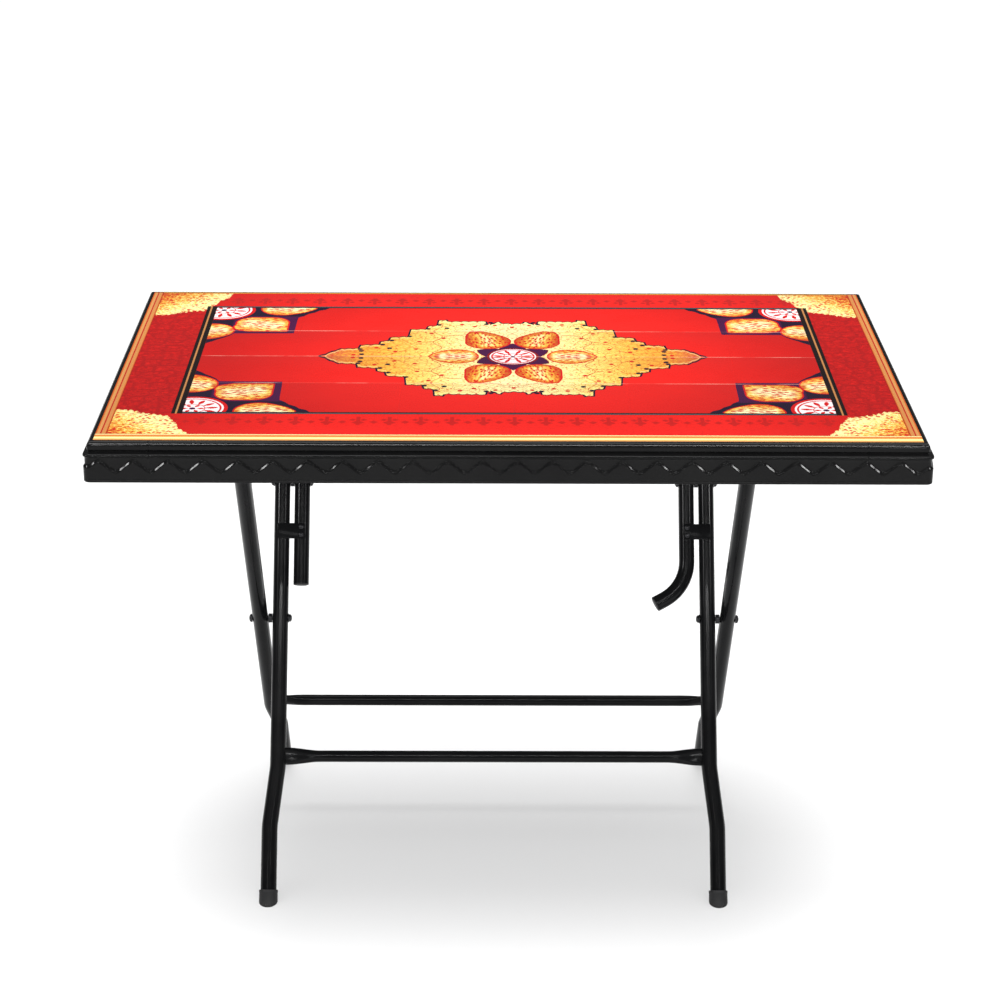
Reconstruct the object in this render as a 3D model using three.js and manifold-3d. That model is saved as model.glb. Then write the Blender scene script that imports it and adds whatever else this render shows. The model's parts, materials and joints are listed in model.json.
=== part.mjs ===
// Folding dining table: a moulded plastic top with a printed film, on a pair of crossed tubular steel
// frames. A lever frame under the rear of the top holds the crossed frames open through two knee bolts.
// Millimetres, +Z up, +X to the right, +Y to the rear. The origin is on the floor under the middle of
// the top. The table stands open. Side-view points are written as [y, z].
import * as THREE from "three";
import { mergeVertices } from "three/addons/utils/BufferGeometryUtils.js";
import Module from "manifold-3d";

const wasm = await Module();
wasm.setup();

// ---------------------------------------------------------------- driving dimensions
const GAP = 0.3; // clearance between pieces that touch

const TOP_LENGTH = 1050; // along X
const TOP_DEPTH = 640; // along Y
const TOP_HEIGHT = 715; // floor to printed surface
const APRON_HEIGHT = 52;
const RIM_HEIGHT = 13; // narrow upper band of the apron
const RIM_STEP = 5.5; // how far the lower band stands out past the upper one
const RIM_WIDTH = 13; // from the outermost edge to the printed film
const RIM_ROUND = 5;
const CORNER_RADIUS = 9;
const SKIN = 4; // moulded wall thickness
const RIB_DEPTH = 9;
const RIB_WIDTH = 3;
const RIB_COLUMNS = 5;
const RIB_ROWS = 3;
const FILM_THICKNESS = 0.5;

const FRAME_SHIFT = -16; // the steel frames sit a little left of the middle of the top
const TUBE_RADIUS = 11;
const TUBE_WALL = 1.2;
const TUBE_SIDES = 12;
const CORNER_BEND = 42; // centre-line radius where a leg turns into its top bar
const BEND_STEPS = 5;
const BEND_LEAD = 8; // straight stub past each corner bend, where the leg is welded on
const PLANE_PITCH = 28; // between the planes of neighbouring frames
const OUTER_X = 327.5; // half spacing of the outer legs
const INNER_X = OUTER_X - PLANE_PITCH;
const LEVER_X = INNER_X - PLANE_PITCH;

const FOOT_Y = 208; // front feet at -FOOT_Y, rear feet at +FOOT_Y
const PIVOT_Z = 334; // where the legs cross
const FRONT_HINGE_Z = 674;
const REAR_HINGE_Z = 690;
const KNEE_REACH = 194; // crossing pivot to knee bolt
const OVER_CENTRE_DEG = 0.4; // how far the knee stands past straight
const INNER_TOP_OVERRUN = 24; // inner leg above its knee bolt

const JOGGLE = 10; // sideways set of each lower leg
const OUTER_JOGGLE = [110, 165]; // along the leg from the floor
const INNER_JOGGLE = [95, 195];
const JOGGLE_STEPS = 4;

const STRETCHER_RADIUS = 8;
const STRETCHER_WALL = 1;
const OUTER_STRETCHER_Z = 143;
const OUTER_STRETCHER_SET = 4; // towards the tabletop side of the outer legs
const INNER_STRETCHER_Z = 170;

const LEVER_TAIL = 145; // left lever arm below its knee bolt
const HANDLE_STRAIGHT = 112; // right lever arm below its knee bolt, before the handle bend
const HANDLE_BEND = 62;
const HANDLE_TURN_DEG = 62;
const HANDLE_STEPS = 6;
const HANDLE_END = 12;

const BOLT_RADIUS = 3;
const BOLT_HOLE = 3.4;
const HEAD_RADIUS = 6.2;
const HEAD_HEIGHT = 4.6;
const NUT_HEIGHT = 5;
const SPACER_RADIUS = 6.5;
const ROUND_SIDES = 12;
const SMALL_SIDES = 8; // screws and rivets

const STOP_PLATE = { length: 39, height: 22, thickness: 2.5, below: 72 };
const RIVET = { radius: 2, hole: 2.4, head: 3.6, dome: 1.8, pitch: 11, reach: 5 };

const CAP_RADIUS = 13;
const CAP_HEIGHT = 17;
const CAP_SOLE = 4;
const PLUG_LIP = 2.4;
const PLUG_STEM = 9;

const SADDLE = { x: 170, width: 24, sheet: 2.2, flange: 15, bar: 11.6 };
const BOSS = { width: 32, length: 66 };
const SCREW = { radius: 1.9, hole: 2.2, head: 4, headHeight: 2.4, reach: 8 };

// ---------------------------------------------------------------- side-view geometry of the linkage
const PIVOT = [0, PIVOT_Z];
const toPivot = Math.hypot(FOOT_Y, PIVOT_Z);
const OUTER_UP = [-FOOT_Y / toPivot, PIVOT_Z / toPivot];
const INNER_UP = [FOOT_Y / toPivot, PIVOT_Z / toPivot];
const FRONT_HINGE = [(FRONT_HINGE_Z - PIVOT_Z) * (OUTER_UP[0] / OUTER_UP[1]), FRONT_HINGE_Z];
const KNEE = [KNEE_REACH * INNER_UP[0], PIVOT_Z + KNEE_REACH * INNER_UP[1]];
const rearSlope = Math.atan2(INNER_UP[1], INNER_UP[0]) + THREE.MathUtils.degToRad(OVER_CENTRE_DEG);
const REAR_HINGE = [(REAR_HINGE_Z - PIVOT_Z) / Math.tan(rearSlope), REAR_HINGE_Z];
const leverLength = Math.hypot(KNEE[0] - REAR_HINGE[0], KNEE[1] - REAR_HINGE[1]);
const LEVER_DOWN = [(KNEE[0] - REAR_HINGE[0]) / leverLength, (KNEE[1] - REAR_HINGE[1]) / leverLength];
const outerLegLength = Math.hypot(FRONT_HINGE[0] - FOOT_Y, FRONT_HINGE[1]);
const innerLegLength = toPivot + KNEE_REACH + INNER_TOP_OVERRUN;

// ---------------------------------------------------------------- colours
const finish = (color, roughness, metalness) =>
  new THREE.MeshStandardMaterial({ color, roughness, metalness });
const plasticBlack = finish(0x1c1c1d, 0.5, 0);
const printRed = finish(0xc8201e, 0.35, 0);
const tubeBlack = finish(0x161719, 0.3, 0.4);
const boltBlack = finish(0x222325, 0.4, 0.6);
const capBlack = finish(0x111112, 0.6, 0);
const zincSteel = finish(0x9a9c9f, 0.35, 0.9);

const table = new THREE.Group();

// ---------------------------------------------------------------- solids
// A closed mesh as a solid. Sweeps may come out with their faces turned in, so those are turned back.
function solidOf(geometry) {
  const bare = geometry.clone();
  bare.deleteAttribute("normal");
  bare.deleteAttribute("uv");
  const merged = mergeVertices(bare, 1e-4);
  const build = (triangles) =>
    new wasm.Manifold(
      new wasm.Mesh({
        numProp: 3,
        vertProperties: new Float32Array(merged.attributes.position.array),
        triVerts: triangles,
      }),
    );
  const triangles = new Uint32Array(merged.index.array);
  const solid = build(triangles);
  if (solid.volume() > 0) {
    return solid;
  }
  return build(triangles.reverse());
}

function geometryOf(solid) {
  const mesh = solid.getMesh();
  const geometry = new THREE.BufferGeometry();
  const places = new Float32Array(mesh.numVert * 3);
  for (let i = 0; i < mesh.numVert; i += 1) {
    for (let axis = 0; axis < 3; axis += 1) {
      places[i * 3 + axis] = mesh.vertProperties[i * mesh.numProp + axis];
    }
  }
  geometry.setAttribute("position", new THREE.BufferAttribute(places, 3));
  geometry.setIndex(new THREE.BufferAttribute(new Uint32Array(mesh.triVerts), 1));
  geometry.computeVertexNormals();
  return geometry;
}

function addPiece(name, solid, material) {
  const mesh = new THREE.Mesh(geometryOf(solid), material);
  mesh.name = name;
  table.add(mesh);
}

const cutAll = (solid, tools) => tools.reduce((rest, tool) => rest.subtract(tool), solid);

function boxSolid(low, high) {
  const size = high.map((value, axis) => value - low[axis]);
  const geometry = new THREE.BoxGeometry(...size);
  geometry.translate(...low.map((value, axis) => value + size[axis] / 2));
  return solidOf(geometry);
}

// A solid of revolution: profile points are [radius, height], turned so that height runs along axis.
function turnedSolid(profile, base, axis, sides = ROUND_SIDES) {
  const points = profile.map(([radius, height]) => new THREE.Vector2(radius, height));
  const geometry = new THREE.LatheGeometry(points, sides);
  const turn = new THREE.Quaternion().setFromUnitVectors(new THREE.Vector3(0, 1, 0), axis);
  geometry.applyQuaternion(turn);
  geometry.translate(base.x, base.y, base.z);
  return solidOf(geometry);
}

const rodProfile = (radius, low, high) => [[0, low], [radius, low], [radius, high], [0, high]];
const rod = (radius, base, axis, low, high) => turnedSolid(rodProfile(radius, low, high), base, axis);
const ringProfile = (inner, outer, low, high) => [
  [inner, low],
  [outer, low],
  [outer, high],
  [inner, high],
  [inner, low],
];

// A dome between two heights, as profile points from its rim to the axis.
function domeProfile(radius, low, high, steps = 3) {
  const points = [];
  for (let i = 0; i <= steps; i += 1) {
    const turn = (i / steps) * (Math.PI / 2);
    points.push([radius * Math.cos(turn), low + (high - low) * Math.sin(turn)]);
  }
  points[steps][0] = 0;
  return points;
}

// ---------------------------------------------------------------- tubes
// A route through given stations: straight between them, square to the mean direction at each.
class StationRoute extends THREE.Curve {
  constructor(stations) {
    super();
    this.stations = stations;
  }

  getPointAt(u, target = new THREE.Vector3()) {
    const place = u * (this.stations.length - 1);
    const index = Math.min(Math.floor(place + 1e-6), this.stations.length - 2);
    return target.lerpVectors(this.stations[index], this.stations[index + 1], place - index);
  }

  getTangentAt(u, target = new THREE.Vector3()) {
    const last = this.stations.length - 1;
    const index = Math.round(u * last);
    const before = this.stations[Math.max(index - 1, 0)];
    const after = this.stations[Math.min(index + 1, last)];
    const here = this.stations[index];
    const arriving = here.clone().sub(before).normalize();
    const leaving = after.clone().sub(here).normalize();
    return target.copy(arriving.add(leaving)).normalize();
  }
}

function tubeSolid(stations, radius, wall) {
  const section = new THREE.Shape();
  section.absarc(0, 0, radius, 0, Math.PI * 2, false);
  if (wall > 0) {
    const bore = new THREE.Path();
    bore.absarc(0, 0, radius - wall, 0, Math.PI * 2, true);
    section.holes.push(bore);
  }
  const geometry = new THREE.ExtrudeGeometry(section, {
    steps: stations.length - 1,
    curveSegments: TUBE_SIDES / 2, // a full circle takes two per segment
    extrudePath: new StationRoute(stations),
  });
  return solidOf(geometry);
}

const spot = (x, [y, z]) => new THREE.Vector3(x + FRAME_SHIFT, y, z);
const along = ([y, z], [dy, dz], distance) => [y + dy * distance, z + dz * distance];
const X_AXIS = new THREE.Vector3(1, 0, 0);

// A leg from the floor up. Its x changes over the joggle in an easy S.
function legStations(side, footX, upperX, start, end, foot, up, length) {
  const stations = [spot(side * footX, along(foot, up, -2 * CAP_RADIUS))];
  for (let i = 0; i <= JOGGLE_STEPS; i += 1) {
    const share = i / JOGGLE_STEPS;
    const blend = (1 - Math.cos(Math.PI * share)) / 2;
    const x = footX + (upperX - footX) * blend;
    stations.push(spot(side * x, along(foot, up, start + (end - start) * share)));
  }
  stations.push(spot(side * upperX, along(foot, up, length)));
  return stations;
}

// The bar across the top of a frame, with the two corner bends that lead into its legs.
function barStations(halfSpacing, hinge, down) {
  const stations = [];
  for (const side of [-1, 1]) {
    const bend = [spot(side * halfSpacing, along(hinge, down, CORNER_BEND + BEND_LEAD))];
    for (let i = 0; i <= BEND_STEPS; i += 1) {
      const turn = (i / BEND_STEPS) * (Math.PI / 2);
      const x = halfSpacing - CORNER_BEND * (1 - Math.cos(turn));
      const drop = CORNER_BEND * (1 - Math.sin(turn));
      bend.push(spot(side * x, along(hinge, down, drop)));
    }
    stations.push(...(side < 0 ? bend : bend.reverse()));
  }
  return stations;
}

// ---------------------------------------------------------------- tabletop
function roundedRectangle(halfX, halfY, radius) {
  const shape = new THREE.Shape();
  shape.moveTo(halfX, radius - halfY);
  shape.lineTo(halfX, halfY - radius);
  shape.absarc(halfX - radius, halfY - radius, radius, 0, Math.PI / 2);
  shape.lineTo(radius - halfX, halfY);
  shape.absarc(radius - halfX, halfY - radius, radius, Math.PI / 2, Math.PI);
  shape.lineTo(-halfX, radius - halfY);
  shape.absarc(radius - halfX, radius - halfY, radius, Math.PI, Math.PI * 1.5);
  shape.lineTo(halfX - radius, -halfY);
  shape.absarc(halfX - radius, radius - halfY, radius, Math.PI * 1.5, Math.PI * 2);
  return shape;
}

// A slab with rounded corners. A positive round softens its upper edge.
function slab(inset, low, high, round = 0) {
  const flat = roundedRectangle(
    TOP_LENGTH / 2 - inset - round,
    TOP_DEPTH / 2 - inset - round,
    Math.max(CORNER_RADIUS - inset / 2 - round, 2),
  );
  const geometry = new THREE.ExtrudeGeometry(flat, {
    depth: high - low - 2 * round,
    curveSegments: 4,
    bevelEnabled: round > 0,
    bevelSize: round,
    bevelThickness: round,
    bevelSegments: 3,
  });
  geometry.translate(0, 0, low + round);
  return solidOf(geometry);
}

const apronBottom = TOP_HEIGHT - APRON_HEIGHT;
const ledge = TOP_HEIGHT - RIM_HEIGHT;
const plateBottom = TOP_HEIGHT - SKIN;
const ribBottom = plateBottom - RIB_DEPTH;
const filmBottom = TOP_HEIGHT - FILM_THICKNESS;

// Two saddles hold each top bar: the boss above the bar, and the screw places fore and aft of it.
const hinges = [
  { name: "front", at: FRONT_HINGE },
  { name: "rear", at: REAR_HINGE },
];
const sides = [
  { name: "left", sign: -1 },
  { name: "right", sign: 1 },
];
const bossBottom = (hinge) => hinge.at[1] + SADDLE.bar + GAP;
const screwOffset = SADDLE.bar + SADDLE.sheet + SADDLE.flange / 2;
const screwPlaces = (hinge, side) =>
  [-1, 1].map((fore) => {
    const x = FRAME_SHIFT + side.sign * SADDLE.x;
    return new THREE.Vector3(x, hinge.at[0] + fore * screwOffset, bossBottom(hinge));
  });
const UP = new THREE.Vector3(0, 0, 1);

function tabletopShell() {
  const lowerBand = slab(0, apronBottom, ledge - 1.5);
  const upperBand = slab(RIM_STEP, ledge - 3, TOP_HEIGHT, RIM_ROUND);
  const lowerCavity = slab(SKIN, apronBottom - 1, ledge - 3 - SKIN);
  const upperCavity = slab(RIM_STEP + SKIN, ledge - 4 - SKIN, plateBottom);
  let shell = cutAll(lowerBand.add(upperBand), [lowerCavity, upperCavity]);
  const ribHalfX = TOP_LENGTH / 2 - RIM_STEP - SKIN / 2;
  const ribHalfY = TOP_DEPTH / 2 - RIM_STEP - SKIN / 2;
  const ribRoot = plateBottom + 1;
  for (let i = 1; i <= RIB_COLUMNS; i += 1) {
    const x = ribHalfX * ((2 * i) / (RIB_COLUMNS + 1) - 1);
    const low = [x - RIB_WIDTH / 2, -ribHalfY, ribBottom];
    shell = shell.add(boxSolid(low, [x + RIB_WIDTH / 2, ribHalfY, ribRoot]));
  }
  for (let i = 1; i <= RIB_ROWS; i += 1) {
    const y = ribHalfY * ((2 * i) / (RIB_ROWS + 1) - 1);
    const low = [-ribHalfX, y - RIB_WIDTH / 2, ribBottom];
    shell = shell.add(boxSolid(low, [ribHalfX, y + RIB_WIDTH / 2, ribRoot]));
  }
  for (const hinge of hinges) {
    for (const side of sides) {
      const x = FRAME_SHIFT + side.sign * SADDLE.x;
      const low = [x - BOSS.width / 2, hinge.at[0] - BOSS.length / 2, bossBottom(hinge)];
      shell = shell.add(boxSolid(low, [x + BOSS.width / 2, hinge.at[0] + BOSS.length / 2, ribRoot]));
    }
  }
  for (const hinge of hinges) {
    for (const side of sides) {
      for (const place of screwPlaces(hinge, side)) {
        shell = shell.subtract(rod(SCREW.hole, place, UP, -1, SCREW.reach + 0.5));
      }
    }
  }
  return shell.subtract(slab(RIM_WIDTH - GAP, filmBottom - GAP, TOP_HEIGHT + 1));
}

// A sheet strap folded round the bar, with a flat foot fore and aft.
function saddleStrap(hinge, side) {
  const outer = SADDLE.bar + SADDLE.sheet;
  const footTop = SADDLE.bar;
  const footEnd = outer + SADDLE.flange;
  const shape = new THREE.Shape();
  shape.moveTo(-footEnd, footTop);
  shape.lineTo(-footEnd, footTop - SADDLE.sheet);
  shape.lineTo(-outer, footTop - SADDLE.sheet);
  shape.lineTo(-outer, 0);
  shape.absarc(0, 0, outer, Math.PI, Math.PI * 2, false);
  shape.lineTo(outer, footTop - SADDLE.sheet);
  shape.lineTo(footEnd, footTop - SADDLE.sheet);
  shape.lineTo(footEnd, footTop);
  shape.lineTo(SADDLE.bar, footTop);
  shape.lineTo(SADDLE.bar, 0);
  shape.absarc(0, 0, SADDLE.bar, 0, Math.PI, true);
  shape.lineTo(-SADDLE.bar, footTop);
  const geometry = new THREE.ExtrudeGeometry(shape, {
    depth: SADDLE.width,
    curveSegments: 6,
    bevelEnabled: false,
  });
  geometry.translate(0, 0, -SADDLE.width / 2);
  geometry.rotateX(Math.PI / 2);
  geometry.rotateZ(Math.PI / 2);
  geometry.translate(FRAME_SHIFT + side.sign * SADDLE.x, hinge.at[0], hinge.at[1]);
  const holes = screwPlaces(hinge, side).map((place) => rod(SCREW.hole, place, UP, -4, 4));
  return cutAll(solidOf(geometry), holes);
}

function saddleScrew(place) {
  const seat = -(GAP + SADDLE.sheet + GAP);
  const head = domeProfile(SCREW.head, seat, seat - SCREW.headHeight);
  const profile = [
    ...head.reverse(),
    [SCREW.radius, seat],
    [SCREW.radius, SCREW.reach],
    [0, SCREW.reach],
  ];
  return turnedSolid(profile, place, UP, SMALL_SIDES);
}

addPiece("tabletop_shell", tabletopShell(), plasticBlack);
addPiece("printed_film", slab(RIM_WIDTH, filmBottom, TOP_HEIGHT), printRed);
for (const hinge of hinges) {
  for (const side of sides) {
    addPiece(`${hinge.name}_saddle_${side.name}`, saddleStrap(hinge, side), zincSteel);
    screwPlaces(hinge, side).forEach((place, index) => {
      const name = `${hinge.name}_saddle_screw_${side.name}_${index + 1}`;
      addPiece(name, saddleScrew(place), zincSteel);
    });
  }
}

// ---------------------------------------------------------------- frames
const rearFoot = [FOOT_Y, 0];
const frontFoot = [-FOOT_Y, 0];
const outerFootX = OUTER_X - JOGGLE;
const innerFootX = INNER_X + JOGGLE;
const belowFloor = boxSolid([-1000, -1000, -100], [1000, 1000, 0]);
const belowTubeEnd = boxSolid([-1000, -1000, -100], [1000, 1000, CAP_SOLE]);
const boltHole = (x, point) => rod(BOLT_HOLE, spot(x, point), X_AXIS, -2 * TUBE_RADIUS, 2 * TUBE_RADIUS);

// The cap is a cup on the end of the tube, cut flat where it stands on the floor.
function footCap(side, footX, foot, up) {
  const axis = new THREE.Vector3(0, up[0], up[1]);
  const base = spot(side * footX, foot);
  const cup = rod(CAP_RADIUS, base, axis, -2 * CAP_RADIUS, CAP_HEIGHT);
  const socket = rod(TUBE_RADIUS + GAP, base, axis, -2 * CAP_RADIUS, CAP_HEIGHT + 1);
  const socketAboveSole = socket.subtract(boxSolid([-1000, -1000, -100], [1000, 1000, CAP_SOLE - GAP]));
  return cutAll(cup, [socketAboveSole, belowFloor]);
}

// A domed plug in the open end of a tube. axis points out of the tube.
function endPlug(end, axis) {
  const stem = TUBE_RADIUS - TUBE_WALL - GAP;
  const profile = [
    [0, -PLUG_STEM],
    [stem, -PLUG_STEM],
    [stem, GAP],
    ...domeProfile(TUBE_RADIUS, GAP, GAP + PLUG_LIP),
  ];
  return turnedSolid(profile, end, axis);
}

const legs = {};
for (const { name, sign } of sides) {
  const outerTubeLength = outerLegLength - CORNER_BEND - BEND_LEAD - GAP;
  const outerRoute = legStations(
    sign, outerFootX, OUTER_X, ...OUTER_JOGGLE, rearFoot, OUTER_UP, outerTubeLength,
  );
  const innerRoute = legStations(
    sign, innerFootX, INNER_X, ...INNER_JOGGLE, frontFoot, INNER_UP, innerLegLength,
  );
  legs[name] = {
    outer: tubeSolid(outerRoute, TUBE_RADIUS, TUBE_WALL),
    inner: tubeSolid(innerRoute, TUBE_RADIUS, TUBE_WALL),
    outerKeepOut: tubeSolid(outerRoute, TUBE_RADIUS + GAP, 0),
    innerKeepOut: tubeSolid(innerRoute, TUBE_RADIUS + GAP, 0),
    innerTop: innerRoute.at(-1),
  };
}

const legStock = (leg, tools) => cutAll(leg, [belowTubeEnd, ...tools]);
for (const { name, sign } of sides) {
  const atPivotOuter = boltHole(sign * OUTER_X, PIVOT);
  const atPivotInner = boltHole(sign * INNER_X, PIVOT);
  const atKnee = boltHole(sign * INNER_X, KNEE);
  addPiece(`outer_leg_${name}`, legStock(legs[name].outer, [atPivotOuter]), tubeBlack);
  addPiece(`inner_leg_${name}`, legStock(legs[name].inner, [atPivotInner, atKnee]), tubeBlack);
  addPiece(`outer_foot_cap_${name}`, footCap(sign, outerFootX, rearFoot, OUTER_UP), capBlack);
  addPiece(`inner_foot_cap_${name}`, footCap(sign, innerFootX, frontFoot, INNER_UP), capBlack);
  const innerAxis = new THREE.Vector3(0, INNER_UP[0], INNER_UP[1]);
  addPiece(`inner_leg_plug_${name}`, endPlug(legs[name].innerTop, innerAxis), capBlack);
}

const outerDown = [-OUTER_UP[0], -OUTER_UP[1]];
addPiece(
  "outer_top_bar",
  tubeSolid(barStations(OUTER_X, FRONT_HINGE, outerDown), TUBE_RADIUS, TUBE_WALL),
  tubeBlack,
);

// A stretcher reaches from leg to leg and is coped to fit their round sides.
function stretcher(halfSpacing, point, keepOuts) {
  const ends = [spot(-halfSpacing, point), spot(halfSpacing, point)];
  return cutAll(tubeSolid(ends, STRETCHER_RADIUS, STRETCHER_WALL), keepOuts);
}
const pointAtHeight = (foot, up, z) => along(foot, up, z / up[1]);
const outerStretcherPoint = along(
  pointAtHeight(rearFoot, OUTER_UP, OUTER_STRETCHER_Z), [OUTER_UP[1], -OUTER_UP[0]], OUTER_STRETCHER_SET,
);
const innerStretcherPoint = pointAtHeight(frontFoot, INNER_UP, INNER_STRETCHER_Z);
addPiece(
  "outer_stretcher",
  stretcher(OUTER_X, outerStretcherPoint, sides.map((side) => legs[side.name].outerKeepOut)),
  tubeBlack,
);
addPiece(
  "inner_stretcher",
  stretcher(INNER_X, innerStretcherPoint, sides.map((side) => legs[side.name].innerKeepOut)),
  tubeBlack,
);

// ---------------------------------------------------------------- lever frame
const armTop = along(REAR_HINGE, LEVER_DOWN, CORNER_BEND + BEND_LEAD + GAP);
const leverNormal = [LEVER_DOWN[1], -LEVER_DOWN[0]]; // from the arm towards the front and up
const plateCentre = along(KNEE, LEVER_DOWN, STOP_PLATE.below);
// The plate stands clear of the inner leg, which leans away from the arm by the over-centre angle.
const innerNormal = [-INNER_UP[1], INNER_UP[0]];
const armSet = (plateCentre[0] - PIVOT[0]) * innerNormal[0] + (plateCentre[1] - PIVOT[1]) * innerNormal[1];
const plateLift = TUBE_RADIUS + Math.abs(armSet) + 2 * GAP;

const normal3 = new THREE.Vector3(0, leverNormal[0], leverNormal[1]);
const down3 = new THREE.Vector3(0, LEVER_DOWN[0], LEVER_DOWN[1]);
const rivetPoints = [-0.5, 0.5].map((share) => along(plateCentre, LEVER_DOWN, share * RIVET.pitch));
const rivetHole = (sign, point) =>
  rod(RIVET.hole, spot(sign * LEVER_X, point), normal3, TUBE_RADIUS - 4, TUBE_RADIUS + 9);

function stopPlate(sign) {
  const geometry = new THREE.BoxGeometry(STOP_PLATE.length, STOP_PLATE.thickness, STOP_PLATE.height);
  const basis = new THREE.Matrix4().makeBasis(X_AXIS, normal3, down3);
  geometry.applyMatrix4(basis);
  const centreX = (LEVER_X + INNER_X) / 2;
  const place = spot(sign * centreX, along(plateCentre, leverNormal, plateLift + STOP_PLATE.thickness / 2));
  geometry.translate(place.x, place.y, place.z);
  return cutAll(solidOf(geometry), rivetPoints.map((point) => rivetHole(sign, point)));
}

function rivet(sign, point) {
  const seat = plateLift + STOP_PLATE.thickness + GAP;
  const profile = [
    [0, seat - GAP - RIVET.reach - STOP_PLATE.thickness],
    [RIVET.radius, seat - GAP - RIVET.reach - STOP_PLATE.thickness],
    [RIVET.radius, seat],
    ...domeProfile(RIVET.head, seat, seat + RIVET.dome),
  ];
  return turnedSolid(profile, spot(sign * LEVER_X, point), normal3, SMALL_SIDES);
}

function armStations(sign) {
  const start = spot(sign * LEVER_X, armTop);
  if (sign < 0) {
    return [start, spot(sign * LEVER_X, along(KNEE, LEVER_DOWN, LEVER_TAIL))];
  }
  const bendStart = along(KNEE, LEVER_DOWN, HANDLE_STRAIGHT);
  const stations = [start];
  const full = THREE.MathUtils.degToRad(HANDLE_TURN_DEG);
  for (let i = 0; i <= HANDLE_STEPS; i += 1) {
    const turn = (i / HANDLE_STEPS) * full;
    const x = LEVER_X - HANDLE_BEND * (1 - Math.cos(turn));
    stations.push(spot(x, along(bendStart, LEVER_DOWN, HANDLE_BEND * Math.sin(turn))));
  }
  const endX = LEVER_X - HANDLE_BEND * (1 - Math.cos(full)) - HANDLE_END * Math.sin(full);
  const endDrop = HANDLE_BEND * Math.sin(full) + HANDLE_END * Math.cos(full);
  stations.push(spot(endX, along(bendStart, LEVER_DOWN, endDrop)));
  return stations;
}

for (const { name, sign } of sides) {
  const route = armStations(sign);
  const holes = [boltHole(sign * LEVER_X, KNEE), ...rivetPoints.map((point) => rivetHole(sign, point))];
  const arm = cutAll(tubeSolid(route, TUBE_RADIUS, TUBE_WALL), holes);
  addPiece(`lever_arm_${name}`, arm, tubeBlack);
  const end = route.at(-1);
  const endAxis = end.clone().sub(route.at(-2)).normalize();
  addPiece(`lever_plug_${name}`, endPlug(end, endAxis), capBlack);
  addPiece(`stop_plate_${name}`, stopPlate(sign), tubeBlack);
  rivetPoints.forEach((point, index) => {
    addPiece(`stop_rivet_${name}_${index + 1}`, rivet(sign, point), boltBlack);
  });
}
addPiece(
  "lever_top_bar",
  tubeSolid(barStations(LEVER_X, REAR_HINGE, LEVER_DOWN), TUBE_RADIUS, TUBE_WALL),
  tubeBlack,
);

// ---------------------------------------------------------------- bolts, nuts and spacers
// Each is turned about X. axis points from the middle of the table outwards.
for (const { name, sign } of sides) {
  const outwards = new THREE.Vector3(sign, 0, 0);
  const pivotAt = spot(0, PIVOT);
  const kneeAt = spot(0, KNEE);
  const outerFace = OUTER_X + TUBE_RADIUS + GAP;
  const innerFace = INNER_X - TUBE_RADIUS - GAP;
  const kneeFace = INNER_X + TUBE_RADIUS + GAP;
  const leverFace = LEVER_X - TUBE_RADIUS - GAP;
  const jointHalf = PLANE_PITCH / 2 - TUBE_RADIUS - GAP;
  const shankEnd = innerFace - NUT_HEIGHT / 2;

  const pivotBolt = [
    [0, shankEnd],
    [BOLT_RADIUS, shankEnd],
    [BOLT_RADIUS, outerFace],
    ...domeProfile(HEAD_RADIUS, outerFace, outerFace + HEAD_HEIGHT),
  ];
  addPiece(`pivot_bolt_${name}`, turnedSolid(pivotBolt, pivotAt, outwards), boltBlack);

  const pivotNut = [
    ...domeProfile(HEAD_RADIUS, innerFace, innerFace - NUT_HEIGHT).reverse(),
    [BOLT_HOLE, innerFace],
    [BOLT_HOLE, shankEnd - GAP],
    [0, shankEnd - GAP],
  ];
  addPiece(`pivot_nut_${name}`, turnedSolid(pivotNut, pivotAt, outwards), boltBlack);

  const pivotMiddle = (OUTER_X + INNER_X) / 2;
  const kneeMiddle = (LEVER_X + INNER_X) / 2;
  const spacer = (middle) => ringProfile(BOLT_HOLE, SPACER_RADIUS, middle - jointHalf, middle + jointHalf);
  addPiece(`pivot_spacer_${name}`, turnedSolid(spacer(pivotMiddle), pivotAt, outwards), boltBlack);
  addPiece(`knee_spacer_${name}`, turnedSolid(spacer(kneeMiddle), kneeAt, outwards), boltBlack);

  const kneeBoltEnd = kneeMiddle + jointHalf;
  const kneeBolt = [
    ...domeProfile(HEAD_RADIUS, leverFace, leverFace - HEAD_HEIGHT).reverse(),
    [BOLT_RADIUS, leverFace],
    [BOLT_RADIUS, kneeBoltEnd],
    [0, kneeBoltEnd],
  ];
  addPiece(`knee_bolt_${name}`, turnedSolid(kneeBolt, kneeAt, outwards), boltBlack);

  const stubEnd = INNER_X - TUBE_RADIUS;
  const kneeNut = [
    [0, stubEnd],
    [BOLT_RADIUS, stubEnd],
    [BOLT_RADIUS, kneeFace],
    ...domeProfile(HEAD_RADIUS, kneeFace, kneeFace + NUT_HEIGHT),
  ];
  addPiece(`knee_nut_${name}`, turnedSolid(kneeNut, kneeAt, outwards), boltBlack);
}

export default table;
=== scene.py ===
"""The looks of a folding dining table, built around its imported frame.

A moulded plastic top carries a glossy printed film. Two crossed tube frames and a lever frame stand
under it. Sizes here are millimetres, and a mesh is scaled to the frame's metres when it is made.
"""
import json
import math

import bmesh
import bpy
from mathutils import Matrix, Vector


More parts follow.
